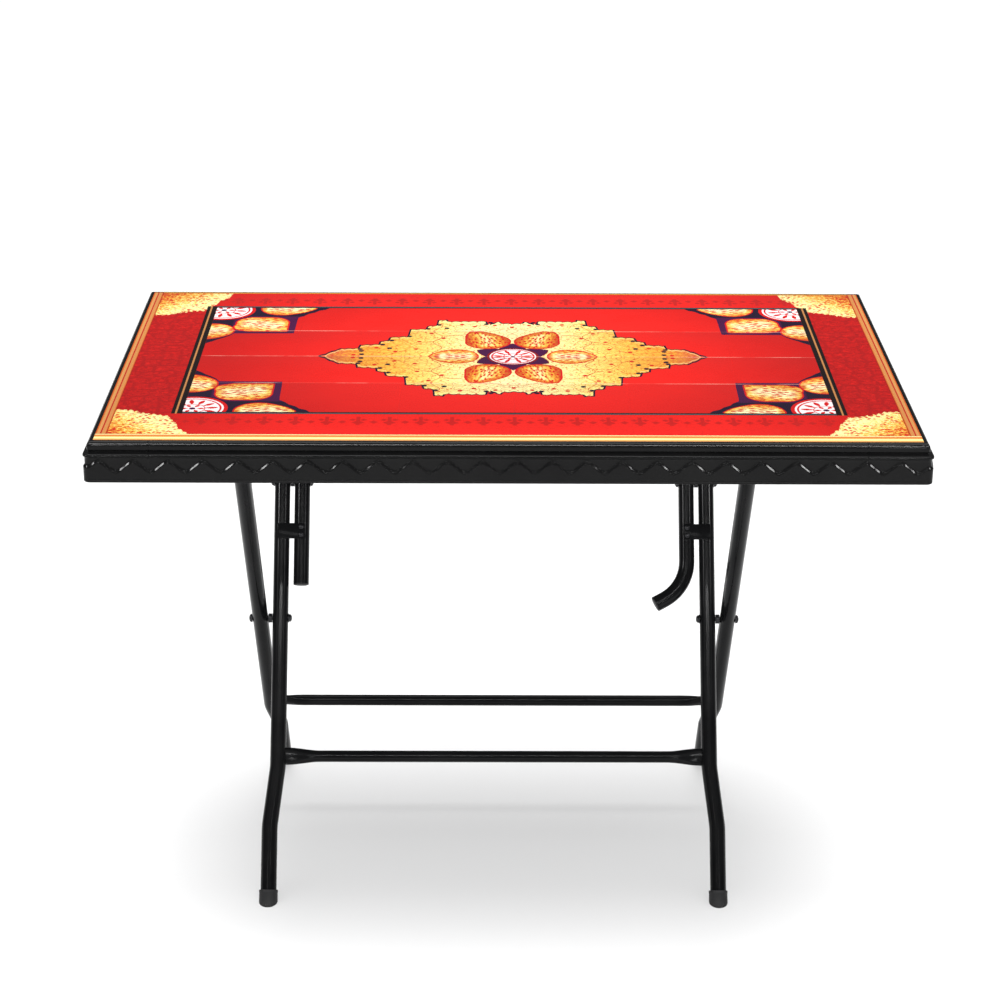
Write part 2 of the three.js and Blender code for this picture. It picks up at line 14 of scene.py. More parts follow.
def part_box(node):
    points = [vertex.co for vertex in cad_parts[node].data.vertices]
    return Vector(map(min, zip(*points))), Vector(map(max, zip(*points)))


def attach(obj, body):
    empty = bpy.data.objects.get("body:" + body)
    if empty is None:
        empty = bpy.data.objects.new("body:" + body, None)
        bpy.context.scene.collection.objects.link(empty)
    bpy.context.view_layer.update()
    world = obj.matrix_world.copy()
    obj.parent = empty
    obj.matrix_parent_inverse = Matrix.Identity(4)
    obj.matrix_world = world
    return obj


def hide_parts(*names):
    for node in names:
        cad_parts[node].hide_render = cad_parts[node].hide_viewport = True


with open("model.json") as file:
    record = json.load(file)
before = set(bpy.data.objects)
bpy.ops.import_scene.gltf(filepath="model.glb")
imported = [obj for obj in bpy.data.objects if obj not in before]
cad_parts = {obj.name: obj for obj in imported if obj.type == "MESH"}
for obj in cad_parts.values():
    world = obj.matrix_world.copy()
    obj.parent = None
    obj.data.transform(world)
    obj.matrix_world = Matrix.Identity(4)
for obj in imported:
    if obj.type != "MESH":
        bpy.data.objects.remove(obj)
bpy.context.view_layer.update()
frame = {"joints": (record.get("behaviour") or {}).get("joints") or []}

MM = 0.001

# ---- sizes, in millimetres
TUBE_RADIUS = 11.0
SADDLE_CLEARANCE = 0.6
TUBE_SIDES = 28
CORNER_BEND = 42.0  # centre line, where a leg turns into its top bar
OUTER_JOGGLE_BEND = 68.0
INNER_JOGGLE_BEND = 102.0
OUTER_JOGGLE = (112.0, 163.0)  # along the leg from the floor, where it steps sideways
INNER_JOGGLE = (104.0, 186.0)
HANDLE_BEND = 62.0
HANDLE_TURN = math.radians(62)
HANDLE_STRAIGHT = 112.0  # right lever arm below its knee bolt
HANDLE_END = 12.0
INNER_OVERRUN = 24.0  # inner leg above its knee bolt
LEVER_TAIL = 145.0  # left lever arm below its knee bolt
STRETCHER_RADIUS = 8.0
FISHTAIL = 46.0  # length over which a stretcher end is pressed flat
WELD_BEAD = 1.7

SOLE_LIFT = 8.8  # a leg tube starts this far up inside its foot cap
STRETCHER_SINK = 0.8  # a stretcher's ends run this far into the legs' rounding

CORNER_RADIUS = 9.0
CORNER_STEPS = 8
RIM_WIDTH = 13.0  # from the outermost edge to the printed film
RIM_STEP = 5.5
RIM_ROUND = 5.0
RIM_BEVEL = 1.1  # flat on the rounded upper edge of the rim
RIM_BEVEL_TILT = math.radians(30)
BAND_HEIGHT = 13.0  # of the upper band of the rim
SKIN = 4.0
RIB_DEPTH = 9.0
RIB_HALF = 1.9  # half a rib's width
BOSS_HALF = (16.0, 33.0)  # half size of the boss over a saddle
WAVE_RISE = 7.4  # half height of the zigzag on the apron
WAVE_BELOW_TOP = 30.6
WAVE_PITCH = 43.0
WAVE_STEPS = 8  # points along one zigzag
WAVE_FULLNESS = 0.94  # 1 would make the zigzag's turns sharp
RELIEF = 2.0  # the step from the sunk to the raised part of the apron
GROOVE_HALF = 1.4  # half width of the moulded grooves under the film
GROOVE_DEPTH = 0.34
TILE = (147.5, 110.0)  # moulded grid under the film
GRID_MIDDLE = (8.0, 18.5)  # middle of the medallion and of the moulded grid
FIELD_MIDDLE = (1.8, 14.5)
FIELD_HALF = (415.0, 219.0)  # half size of the inner field
END_LINE = 14.0  # width of the dark frame at the ends of the inner field
LONG_LINE = 7.0  # and along its long sides

BLACK_TINT = 0.0042
SEAM_PLACE = 443.0  # witness lines of the mould's inserts, from the middle
SEAM_LOW = 688.0

BOLT_RADIUS = 6.2
BOLT_HEIGHT = 4.6
NUT_HEIGHT = 5.0
SHANK_RADIUS = 2.9
PLATE_SIZE = (39.0, 22.0)  # stop plate
PLATE_HALF = 1.25  # half its thickness
PLATE_CHAMFER = 0.3
PLATE_CORNER = 3.0
RIVET_RADIUS = 3.6
RIVET_HEIGHT = 1.8
STRAP_THICKNESS = 2.2
STRAP_CORNER = 3.0
STRAP_EDGE = 0.35
RECESS_ARM = 0.62  # half width of a screw's cross recess

FLOOR_REACH = 30000.0

# The camera, in metres and degrees.
CAMERA_PLACE = (-0.029, -3.171, 1.788)
CAMERA_TURN = (0.37, 21.9, -0.3)  # yaw, pitch, roll
CAMERA_LENS = 89.4


# ---- places from the frame
def mm_box(node):
    low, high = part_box(node)
    return low / MM, high / MM


def middle(node):
    low, high = mm_box(node)
    return (low + high) / 2


def joint_place(name):
    found = next(j for j in frame["joints"] if j["name"] == name)
    return Vector(found["pos_m"]) / MM


SIDES = {"left": -1, "right": 1}
shell_low, shell_high = mm_box("tabletop_shell")
film_low, film_high = mm_box("printed_film")
front_hinge = joint_place("fold")
pivot = joint_place("inner_swing")
rear_hinge = joint_place("lever_swing")
SADDLE_ROWS = {"front": front_hinge, "rear": rear_hinge}
knee = Vector((pivot.x, middle("knee_bolt_left").y, middle("knee_bolt_left").z))
outer_up = (front_hinge - pivot).normalized()
inner_up = (knee - pivot).normalized()
lever_down = (knee - rear_hinge).normalized()
lever_x = pivot.x - middle("lever_plug_left").x  # the lever arms, from the middle of the frames
TOP_Z = shell_high.z


def foot(name):
    """The middle of a foot's sole: a leg's centre line meets the floor there."""
    cap = middle(f"{name}_foot_cap_left")
    hinge_side = front_hinge if name == "outer" else knee
    slope = (hinge_side.y - pivot.y) / (hinge_side.z - pivot.z)
    return Vector((cap.x - pivot.x, pivot.y - slope * pivot.z, 0))


# ---- meshes
class Sheets:
    """Points and faces of one piece. Rings of equal length are joined by strips of four-sided faces."""

    def __init__(self):
        self.points = []
        self.faces = []

    def ring(self, points):
        start = len(self.points)
        self.points.extend(points)
        return list(range(start, len(self.points)))

    def strip(self, lower, upper, closed=True):
        count = len(lower)
        for i in range(count if closed else count - 1):
            j = (i + 1) % count
            self.faces.append((lower[i], lower[j], upper[j], upper[i]))

    def loft(self, rings, ends=True):
        made = [self.ring(points) for points in rings]
        for lower, upper in zip(made, made[1:]):
            self.strip(lower, upper)
        if ends:
            self.faces.append(tuple(made[0]))
            self.faces.append(tuple(reversed(made[-1])))

    def make(self, name, sharp=40.0):
        mesh = bpy.data.meshes.new(name)
        mesh.from_pydata([Vector(p) * MM for p in self.points], [], self.faces)
        edit = bmesh.new()
        edit.from_mesh(mesh)
        bmesh.ops.remove_doubles(edit, verts=edit.verts, dist=1e-7)
        bmesh.ops.recalc_face_normals(edit, faces=edit.faces)
        edit.to_mesh(mesh)
        edit.free()
        mesh.shade_smooth()
        mesh.set_sharp_from_angle(angle=math.radians(sharp))
        piece = bpy.data.objects.new(name, mesh)
        bpy.context.scene.collection.objects.link(piece)
        return piece


def place_piece(piece, material, slot, body, *nodes):
    piece.data.materials.append(material)
    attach(piece, body)
    if nodes:
        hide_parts(*nodes)
    return piece


def rounded_route(corners, radii, step=math.radians(6)):
    """A route through corners, each rounded by an arc of its own radius."""
    route = [corners[0]]
    for before, corner, after, radius in zip(corners, corners[1:], corners[2:], radii):
        arriving = (corner - before).normalized()
        leaving = (after - corner).normalized()
        turn = arriving.angle(leaving)
        inwards = (leaving - arriving).normalized()
        centre = corner + inwards * (radius / math.cos(turn / 2))
        start = corner - arriving * (radius * math.tan(turn / 2)) - centre
        axis = arriving.cross(leaving).normalized()
        count = max(3, round(turn / step))
        for i in range(count + 1):
            route.append(centre + Matrix.Rotation(turn * i / count, 3, axis) @ start)
    route.append(corners[-1])
    return route


def directions(route):
    """The mean direction of a route at each of its points."""
    found = []
    for i, point in enumerate(route):
        before = route[max(i - 1, 0)]
        after = route[min(i + 1, len(route) - 1)]
        leaving = (after - point).normalized() if after is not point else Vector()
        arriving = (point - before).normalized() if before is not point else Vector()
        found.append((leaving + arriving).normalized())
    return found


def sweep(sheets, route, outline, first_side):
    """Carries outline(share) along the route without twist. share runs from 0 to 1 by length."""
    lengths = [0.0]
    for a, b in zip(route, route[1:]):
        lengths.append(lengths[-1] + (b - a).length)
    side = Vector(first_side)
    rings = []
    for point, ahead, length in zip(route, directions(route), lengths):
        side = (side - ahead * side.dot(ahead)).normalized()
        other = ahead.cross(side)
        share = length / lengths[-1]
        rings.append([point + side * a + other * b for a, b in outline(share)])
    sheets.loft(rings)


def circle(radius, sides=TUBE_SIDES, across=1.0, high=1.0):
    turns = [2 * math.pi * i / sides for i in range(sides)]
    return [(radius * across * math.cos(t), radius * high * math.sin(t)) for t in turns]


def turned(sheets, profile, base, axis, sides=32, shape=None):
    """A solid of revolution along axis. Profile points are (radius, height); shape may reshape a ring."""
    axis = Vector(axis).normalized()
    side = Vector((0, 0, 1)) if abs(axis.z) < 0.7 else Vector((1, 0, 0))
    side = (side - axis * side.dot(axis)).normalized()
    other = axis.cross(side)
    rings = []
    for radius, height in profile:
        ring = []
        for i in range(sides):
            turn = 2 * math.pi * i / sides
            reach = radius if shape is None else shape(radius, turn)
            ring.append(base + axis * height + (side * math.cos(turn) + other * math.sin(turn)) * reach)
        rings.append(ring)
    sheets.loft(rings)


def arc(centre, radius, start, end, steps):
    """Points (across, up) on an arc; angles in degrees, counted from straight across."""
    turns = [math.radians(start + (end - start) * i / steps) for i in range(steps + 1)]
    return [(centre[0] + radius * math.cos(t), centre[1] + radius * math.sin(t)) for t in turns]


def smooth(share):
    share = min(max(share, 0.0), 1.0)
    return share * share * (3 - 2 * share)


# ---- shading
def linear(red, green, blue):
    """A display colour, 0 to 255, as linear light."""
    def one(value):
        value /= 255
        return value / 12.92 if value <= 0.04045 else ((value + 0.055) / 1.055) ** 2.4
    return (one(red), one(green), one(blue), 1.0)


def feed(tree, socket, value):
    if isinstance(value, Field):
        tree.links.new(value.socket, socket)
    elif isinstance(value, bpy.types.NodeSocket):
        tree.links.new(value, socket)
    else:
        socket.default_value = value


class Field:
    """A number that varies over a surface. Arithmetic on it adds Math nodes to the material."""

    def __init__(self, tree, socket):
        self.tree = tree
        self.socket = socket

    def math(self, operation, *others, clamp=False):
        node = self.tree.nodes.new("ShaderNodeMath")
        node.operation = operation
        node.use_clamp = clamp
        for socket, value in zip(node.inputs, (self, *others)):
            feed(self.tree, socket, value)
        return Field(self.tree, node.outputs[0])

    def __add__(self, other):
        return self.math("ADD", other)

    def __sub__(self, other):
        return self.math("SUBTRACT", other)

    def __mul__(self, other):
        return self.math("MULTIPLY", other)

    def __truediv__(self, other):
        return self.math("DIVIDE", other)

    def __neg__(self):
        return self * -1

    def __abs__(self):
        return self.math("ABSOLUTE")

    def lowest(self, other):
        return self.math("MINIMUM", other)

    def highest(self, other):
        return self.math("MAXIMUM", other)

    def inside(self, edge=0.4):
        """1 where this distance is above nought, 0 below, over an edge of that width."""
        return self.math("MULTIPLY_ADD", 1 / edge, 0.5, clamp=True)


class Material:
    """A Principled material with short ways to add nodes."""

    def __init__(self, name, roughness, metallic=0.0, specular=0.5):
        self.material = bpy.data.materials.new(name)
        self.material.use_nodes = True
        self.tree = self.material.node_tree
        self.shader = self.tree.nodes["Principled BSDF"]
        self.shader.inputs["Roughness"].default_value = roughness
        self.shader.inputs["Metallic"].default_value = metallic
        self.shader.inputs["Specular IOR Level"].default_value = specular
        place = self.tree.nodes.new("ShaderNodeTexCoord")
        self.place = place.outputs["Object"]

    def node(self, kind, output, inputs, **settings):
        made = self.tree.nodes.new(kind)
        for name, value in settings.items():
            setattr(made, name, value)
        for name, value in inputs.items():
            feed(self.tree, made.inputs[name], value)
        return Field(self.tree, made.outputs[output])

    def coordinates(self):
        """The place on the piece along X, Y and Z, in millimetres."""
        split = self.tree.nodes.new("ShaderNodeSeparateXYZ")
        self.tree.links.new(self.place, split.inputs[0])
        return [Field(self.tree, socket) / MM for socket in split.outputs]

    def noise(self, size, detail=3.0, rough=0.55, stretch=(1, 1, 1)):
        """Soft noise about size millimetres across, from 0 to 1."""
        spread = self.tree.nodes.new("ShaderNodeMapping")
        spread.inputs["Scale"].default_value = stretch
        self.tree.links.new(self.place, spread.inputs["Vector"])
        inputs = {
            "Vector": spread.outputs[0], "Scale": 1 / (size * MM), "Detail": detail, "Roughness": rough,
        }
        return self.node("ShaderNodeTexNoise", "Fac", inputs)

    def between(self, value, low, high, out_low=0.0, out_high=1.0):
        """value from low to high, spread over out_low to out_high and held there."""
        inputs = {
            "Value": value, "From Min": low, "From Max": high, "To Min": out_low, "To Max": out_high,
        }
        return self.node("ShaderNodeMapRange", "Result", inputs, clamp=True)

    def mix(self, share, first, second):
        node = self.tree.nodes.new("ShaderNodeMix")
        node.data_type = "RGBA"
        for place, value in ((0, share), (6, first), (7, second)):
            feed(self.tree, node.inputs[place], value)
        return node.outputs[2]

    def ramp(self, value, stops):
        node = self.tree.nodes.new("ShaderNodeValToRGB")
        feed(self.tree, node.inputs[0], value)
        marks = node.color_ramp.elements
        for _ in stops[2:]:
            marks.new(0.5)
        for mark, (place, colour) in zip(marks, stops):
            mark.position = place
            mark.color = colour
        return node.outputs[0]

    def colour(self, value):
        feed(self.tree, self.shader.inputs["Base Color"], value)

    def roughness(self, value):
        feed(self.tree, self.shader.inputs["Roughness"], value)

    def bump(self, *layers):
        """Bump layers, each a height field, its strength and its depth in millimetres."""
        below = None
        for height, strength, depth in layers:
            node = self.tree.nodes.new("ShaderNodeBump")
            node.inputs["Strength"].default_value = strength
            node.inputs["Distance"].default_value = depth * MM
            feed(self.tree, node.inputs["Height"], height)
            if below is not None:
                self.tree.links.new(below, node.inputs["Normal"])
            below = node.outputs[0]
        self.tree.links.new(below, self.shader.inputs["Normal"])


def moulded_plastic():
    made = Material("moulded_plastic", 0.2, specular=0.085)
    clouds = made.noise(60, 4)
    grain = made.noise(0.9, 2)
    handling = made.noise(9, 5, 0.65, stretch=(1, 1, 3))
    dark = (BLACK_TINT, BLACK_TINT, BLACK_TINT * 1.04, 1)
    light = (BLACK_TINT * 1.7, BLACK_TINT * 1.7, BLACK_TINT * 1.72, 1)
    made.colour(made.mix(made.between(clouds * 0.6 + grain * 0.4, 0.35, 0.7), dark, light))
    made.roughness(made.between(handling * 0.6 + clouds * 0.4, 0.3, 0.72, 0.09, 0.16))
    along, _, height = made.coordinates()
    seam = (-abs(abs(along) - SEAM_PLACE) + 0.7).inside(0.8) * (height - SEAM_LOW).inside(2)
    made.bump((made.noise(24, 2), 0.1, 0.3), (grain, 0.1, 0.06), (seam, 1.0, 0.35))
    return made.material


def powder_coat():
    made = Material("powder_coat", 0.26, specular=0.09)
    peel = made.noise(1.6, 1, 0.4)
    clouds = made.noise(70, 3)
    dust = made.between(made.noise(1.1, 2, 0.7), 0.68, 0.8)
    black = (0.0042, 0.0043, 0.0047, 1)
    worn = (0.0075, 0.0076, 0.0080, 1)
    coat = made.mix(made.between(clouds, 0.35, 0.7), black, worn)
    made.colour(made.mix(dust * 0.12, coat, (0.05, 0.05, 0.05, 1)))
    made.roughness(made.between(clouds, 0.3, 0.7, 0.13, 0.18))
    made.bump((peel, 0.08, 0.02))
    return made.material


def black_hardware():
    made = Material("black_hardware", 0.36, metallic=0.5, specular=0.5)
    wear = made.between(made.noise(1.6, 4, 0.7), 0.6, 0.74)
    turning = made.noise(0.5, 2, 0.5, stretch=(6, 1, 1))
    made.colour(made.mix(wear * 0.5, (0.014, 0.014, 0.016, 1), (0.16, 0.155, 0.15, 1)))
    made.roughness(made.between(turning, 0.3, 0.7, 0.24, 0.46))
    made.bump((turning, 0.15, 0.05))
    return made.material


def cap_plastic():
    made = Material("cap_plastic", 0.55, specular=0.35)
    height = made.coordinates()[2]
    scuffs = made.noise(2.5, 5, 0.7)
    near_floor = made.between(height, 2.0, 9.0, 1.0, 0.0)
    made.colour(made.mix(made.between(scuffs, 0.52, 0.7) * near_floor * 0.7,
                         (0.0085, 0.0085, 0.009, 1), (0.075, 0.07, 0.065, 1)))
    made.roughness(made.between(scuffs, 0.3, 0.7, 0.42, 0.66))
    made.bump((made.noise(0.7, 2), 0.3, 0.1))
    return made.material


def zinc_steel():
    made = Material("zinc_steel", 0.34, metallic=1.0)
    rolling = made.noise(0.8, 3, 0.6, stretch=(1, 14, 14))
    bloom = made.noise(6, 4, 0.6)
    made.colour(made.mix(made.between(bloom, 0.35, 0.7), (0.62, 0.62, 0.63, 1), (0.42, 0.43, 0.44, 1)))
    made.roughness(made.between(rolling * 0.6 + bloom * 0.4, 0.35, 0.65, 0.26, 0.46))
    made.bump((rolling, 0.2, 0.05), (bloom, 0.1, 0.1))
    return made.material


# ---- printed carpet pattern
RED = linear(232, 32, 26)
DEEP_RED = linear(186, 20, 18)
WINE = linear(134, 12, 16)
PURPLE = linear(66, 14, 62)
NAVY = linear(24, 14, 40)
TEAL = linear(60, 96, 104)
INK = linear(10, 11, 11)
CREAM = linear(252, 244, 172)
PALE = linear(250, 212, 104)
GOLD = linear(236, 160, 52)
OCHRE = linear(204, 92, 34)
WHITE = linear(250, 240, 240)
SPECK = linear(206, 22, 22)


PETAL_SHADES = (
    (0.0, linear(253, 250, 200)), (0.35, CREAM), (0.62, PALE), (0.86, GOLD), (1.0, OCHRE),
)
WARM_SHADES = (
    (0.0, linear(253, 238, 170)), (0.3, PALE), (0.55, GOLD), (0.8, OCHRE), (1.0, linear(184, 60, 30)),
)


class Carpet:
    """The carpet pattern, laid down colour by colour. Distances are millimetres, positive inside a shape."""

    def __init__(self, made):
        self.made = made
        self.tree = made.tree
        place_x, place_y, _ = made.coordinates()
        self.x = place_x - GRID_MIDDLE[0]
        self.y = place_y - GRID_MIDDLE[1]
        self.u = abs(self.x)
        self.v = abs(self.y)
        self.across = abs(place_x - FIELD_MIDDLE[0])
        self.deep = abs(place_y - FIELD_MIDDLE[1])
        self.from_side = -abs(place_x) + film_high.x
        self.from_front = place_y - film_low.y
        self.from_rear = -place_y + film_high.y
        self.colour = DEEP_RED

    def lay(self, mask, colour):
        self.colour = self.made.mix(mask, self.colour, colour)

    def outline(self, along, points):
        """The height of an outline over along, straight between its points."""
        reach = max(p[0] for p in points)
        height = max(p[1] for p in points)
        node = self.tree.nodes.new("ShaderNodeFloatCurve")
        marks = node.mapping.curves[0].points
        marks[0].location = (points[0][0] / reach, points[0][1] / height)
        marks[1].location = (points[-1][0] / reach, points[-1][1] / height)
        for a, b in points[1:-1]:
            marks.new(a / reach, b / height)
        for mark in marks:
            mark.handle_type = "VECTOR"
        node.mapping.update()
        feed(self.tree, node.inputs["Value"], along / reach)
        return Field(self.tree, node.outputs["Value"]) * height

    def disc(self, x, y, centre, radius):
        dx = x - centre[0]
        dy = y - centre[1]
        return -(dx * dx + dy * dy).math("SQRT") + radius

    def discs(self, x, y, centres, radius):
        found = self.disc(x, y, centres[0], radius)
        for centre in centres[1:]:
            found = found.highest(self.disc(x, y, centre, radius))
        return found

    def block(self, x, y, centre, half, corner):
        """A rectangle of that half size with rounded corners."""
        dx = (abs(x - centre[0]) - half[0] + corner).highest(0.0)
        dy = (abs(y - centre[1]) - half[1] + corner).highest(0.0)
        return -(dx * dx + dy * dy).math("SQRT") + corner

    def drop(self, x, y, centre, towards, radius, tip):
        """A disc drawn out to a tip, at that distance from its centre."""
        dx = x - centre[0]
        dy = y - centre[1]
        cosine, sine = math.cos(towards), math.sin(towards)
        ahead = dx * cosine + dy * sine
        aside = abs(dy * cosine - dx * sine)
        away = (dx * dx + dy * dy).math("SQRT")
        pointing = (aside.math("ARCTAN2", ahead) / -1.15).math("ADD", 1.0, clamp=True)
        return pointing * pointing * (tip - radius) - away + radius

    def cells(self, x, y, size, feature="F1", random=1.0):
        join = self.tree.nodes.new("ShaderNodeCombineXYZ")
        feed(self.tree, join.inputs[0], x)
        feed(self.tree, join.inputs[1], y)
        inputs = {"Vector": join.outputs[0], "Scale": 1 / size, "Randomness": random}
        settings = {"voronoi_dimensions": "2D", "feature": feature}
        return self.made.node("ShaderNodeTexVoronoi", "Distance", inputs, **settings) * size

    def petal(self, x, y, body, middle, size, slant, shades=PETAL_SHADES):
        """A petal of that shape, shaded from its sides to a pale middle line, with red beads on it."""
        self.lay((body + 2.2).inside(), SPECK)
        across = abs((x - middle[0]) * math.sin(slant) - (y - middle[1]) * math.cos(slant)) / size
        edge = (-body / (size * 0.5)).math("ADD", 1.0, clamp=True)
        mottle = self.made.between(self.grain, 0.3, 0.7, -0.2, 0.2)
        self.lay(body.inside(), self.made.ramp(across.highest(edge * 0.85) + mottle, shades))
        dx = x - middle[0]
        dy = y - middle[1]
        along = dx * math.cos(slant) + dy * math.sin(slant)
        aside = dy * math.cos(slant) - dx * math.sin(slant)
        streaks = self.cells(along * 0.22, aside, 3.6)
        self.lay((-streaks + 1.3).inside(0.8) * body.inside() * 0.7, OCHRE)
        dashes = self.cells(along * 0.42 + 40, aside, 6.2)
        self.lay((-dashes + 1.5).inside(0.8) * body.inside(), SPECK)

    def rosette(self, x, y, centre, radius):
        dx = x - centre[0]
        dy = y - centre[1]
        away = (dx * dx + dy * dy).math("SQRT")
        turn = dy.math("ARCTAN2", dx)
        self.lay((-away + radius).inside(), WHITE)
        rays = (turn * 12).math("SINE") * 3.2 - abs(away - radius * 0.6) * 0.42 + 0.4
        inner_rays = (turn * 6).math("COSINE") * 2.4 - abs(away - radius * 0.26) * 0.5
        rings = (-abs(away - radius * 0.9) + 1.3).highest(-abs(away - radius * 0.4) + 0.7)
        marks = rays.highest(inner_rays).highest(rings)
        self.lay(marks.inside(0.8) * (-away + radius).inside(), SPECK)
        self.lay((-away + radius * 0.1).inside(0.8), PURPLE)

    def border(self):
        """The red band round the inner field, its repeats, its corner pieces and the outer stripes."""
        made = self.made
        beyond_long = self.deep - FIELD_HALF[1] - LONG_LINE
        beyond_end = self.across - FIELD_HALF[0] - END_LINE
        long_side = (beyond_long - beyond_end * 1.1 + 4).inside(5)
        self.lay(long_side, made.ramp(self.u / 480, ((0.0, RED), (0.55, RED), (1.0, DEEP_RED))))
        repeat = self.x.math("PINGPONG", 19.7)
        band = beyond_long - 27
        trunk = (-repeat * 2.0 + 5).lowest(-abs(band + 2) + 15)
        crown = -repeat - abs(band - 4) * 1.1 + 8.5
        leaves = -abs(repeat - 7) - abs(band + 6) + 4.5
        bud = -abs(repeat - 19.7) - abs(band - 2) + 5.5
        motif = trunk.highest(crown).highest(leaves).highest(bud).inside(2.5)
        self.lay(motif * long_side * 0.8, linear(176, 26, 24))
        self.lay(made.between(self.grain, 0.52, 0.66, 0.0, 0.3) * long_side, DEEP_RED)
        fine = made.between(made.noise(5.5, 4, 0.65), 0.48, 0.6)
        scrolls = (-self.cells(self.u, self.v, 24, "DISTANCE_TO_EDGE", 0.6) + 2.4).inside(2.0)
        end_band = -long_side + 1.0
        self.lay((fine * 0.8).highest(scrolls * 0.6) * end_band * 0.7, WINE)
        pale = made.between(made.noise(8.5, 4, 0.65), 0.55, 0.64)
        self.lay(pale * end_band * 0.45, RED)

        edge = self.outline(self.from_side, (
            (0, 112), (32, 108), (48, 98), (64, 92), (84, 86),
            (88, 72), (94, 64), (100, 42), (112, 26), (117, 0),
        ))
        from_end = self.from_front.lowest(self.from_rear)
        wobble = (self.from_side * 0.8).math("SINE") * 1.8 + made.between(self.grain, 0.2, 0.8, -3.0, 3.0)
        corner = edge + wobble - from_end
        shade = made.between(self.from_side + from_end * 0.8, 14, 120)
        cloud = made.between(made.noise(5, 4, 0.75), 0.36, 0.64, -0.4, 0.4)
        gold = made.ramp(shade + cloud, (
            (0.0, linear(196, 50, 28)), (0.2, OCHRE), (0.42, GOLD), (0.66, PALE), (1.0, CREAM),
        ))
        self.lay(corner.inside(), gold)
        red_specks = (-self.cells(self.u, self.v, 6.4) + 2.1).inside(0.8)
        gather = made.between(made.noise(16, 2), 0.42, 0.54, 0.0, 1.0)
        self.lay(red_specks * gather * corner.inside() * 0.9, SPECK)
        self.lay((-abs(corner - 3.0) + 0.6).inside(0.8) * corner.inside() * 0.5, WINE)

        self.stripes(self.from_rear, ((5.4, WINE), (4.6, GOLD), (3.2, OCHRE), (1.6, PALE)))
        self.stripes(self.from_side, (
            (14.0, WINE), (13.2, OCHRE), (12.0, linear(206, 138, 76)), (7.4, linear(182, 34, 26)),
            (5.6, linear(212, 148, 84)), (1.6, OCHRE),
        ))
        self.stripes(self.from_front, (
            (21.8, WINE), (21.0, CREAM), (18.6, linear(222, 132, 66)), (12.0, PALE), (10.6, CREAM),
            (5.2, PALE), (3.4, linear(214, 150, 90)),
        ))

    def stripes(self, from_edge, bands):
        for width, colour in bands:
            self.lay((-from_edge + width).inside(), colour)

    def field(self):
        """The plain red inner field, darker towards its ends, in a dark frame."""
        made = self.made
        end = self.across - FIELD_HALF[0]
        long_side = self.deep - FIELD_HALF[1]
        beyond = end.highest(long_side)
        within_line = (-end + END_LINE).lowest(-long_side + LONG_LINE).inside()
        self.lay(within_line, INK)
        self.lay((-abs(end - 8.0) + 1.2).inside(0.8) * within_line, linear(190, 130, 76))
        self.lay((-abs(long_side - 4.4) + 1.2).inside(0.8) * within_line * (-end).inside(), TEAL)
        reach = (self.u * self.u * 0.7 + self.v * self.v * 0.8).math("SQRT")
        shade = made.between(reach + made.noise(40, 2) * 30, 80, 350)
        red = made.ramp(shade, (
            (0.0, linear(244, 38, 30)), (0.5, linear(226, 30, 24)), (1.0, linear(190, 22, 19)),
        ))
        self.inner = (-beyond).inside()
        self.lay(self.inner, red)

    def corner_flowers(self):
        a = -self.across + FIELD_HALF[0]
        b = -self.deep + FIELD_HALF[1]
        ground = self.outline(a, (
            (0, 162), (8, 154), (14, 146), (22, 138), (30, 128), (35, 118), (118, 117), (119, 46), (127, 38),
            (133, 28), (141, 22), (147, 13), (156, 8), (161, 0),
        )) - b
        before = self.colour
        self.lay(ground.inside(), NAVY)
        violet = (a - 30).lowest(b - 40).inside(3) * ground.inside()
        self.lay(violet, PURPLE)
        side = self.drop(a, b, (3, 106), math.pi * 0.6, 30, 40)
        self.petal(a, b, side, (3, 106), 30, -0.35)
        lower = self.drop(a, b, (95, 3), 0.0, 30, 47)
        self.petal(a, b, lower, (95, 3), 30, 0.15)
        shield = self.block(a, b, (71, 77), (36, 31), 24).highest(self.block(a, b, (82, 89), (25, 19), 2))
        shield = shield.highest(self.disc(a, b, (50, 88), 17))
        self.petal(a, b, shield, (72, 78), 34, 0.3)
        self.lay(self.disc(a, b, (11, 12), 47.5).inside(), NAVY)
        self.lay(self.disc(a, b, (11, 12), 45).inside(), SPECK)
        self.rosette(a, b, (11, 12), 40)
        self.colour = self.made.mix(self.inner, before, self.colour)

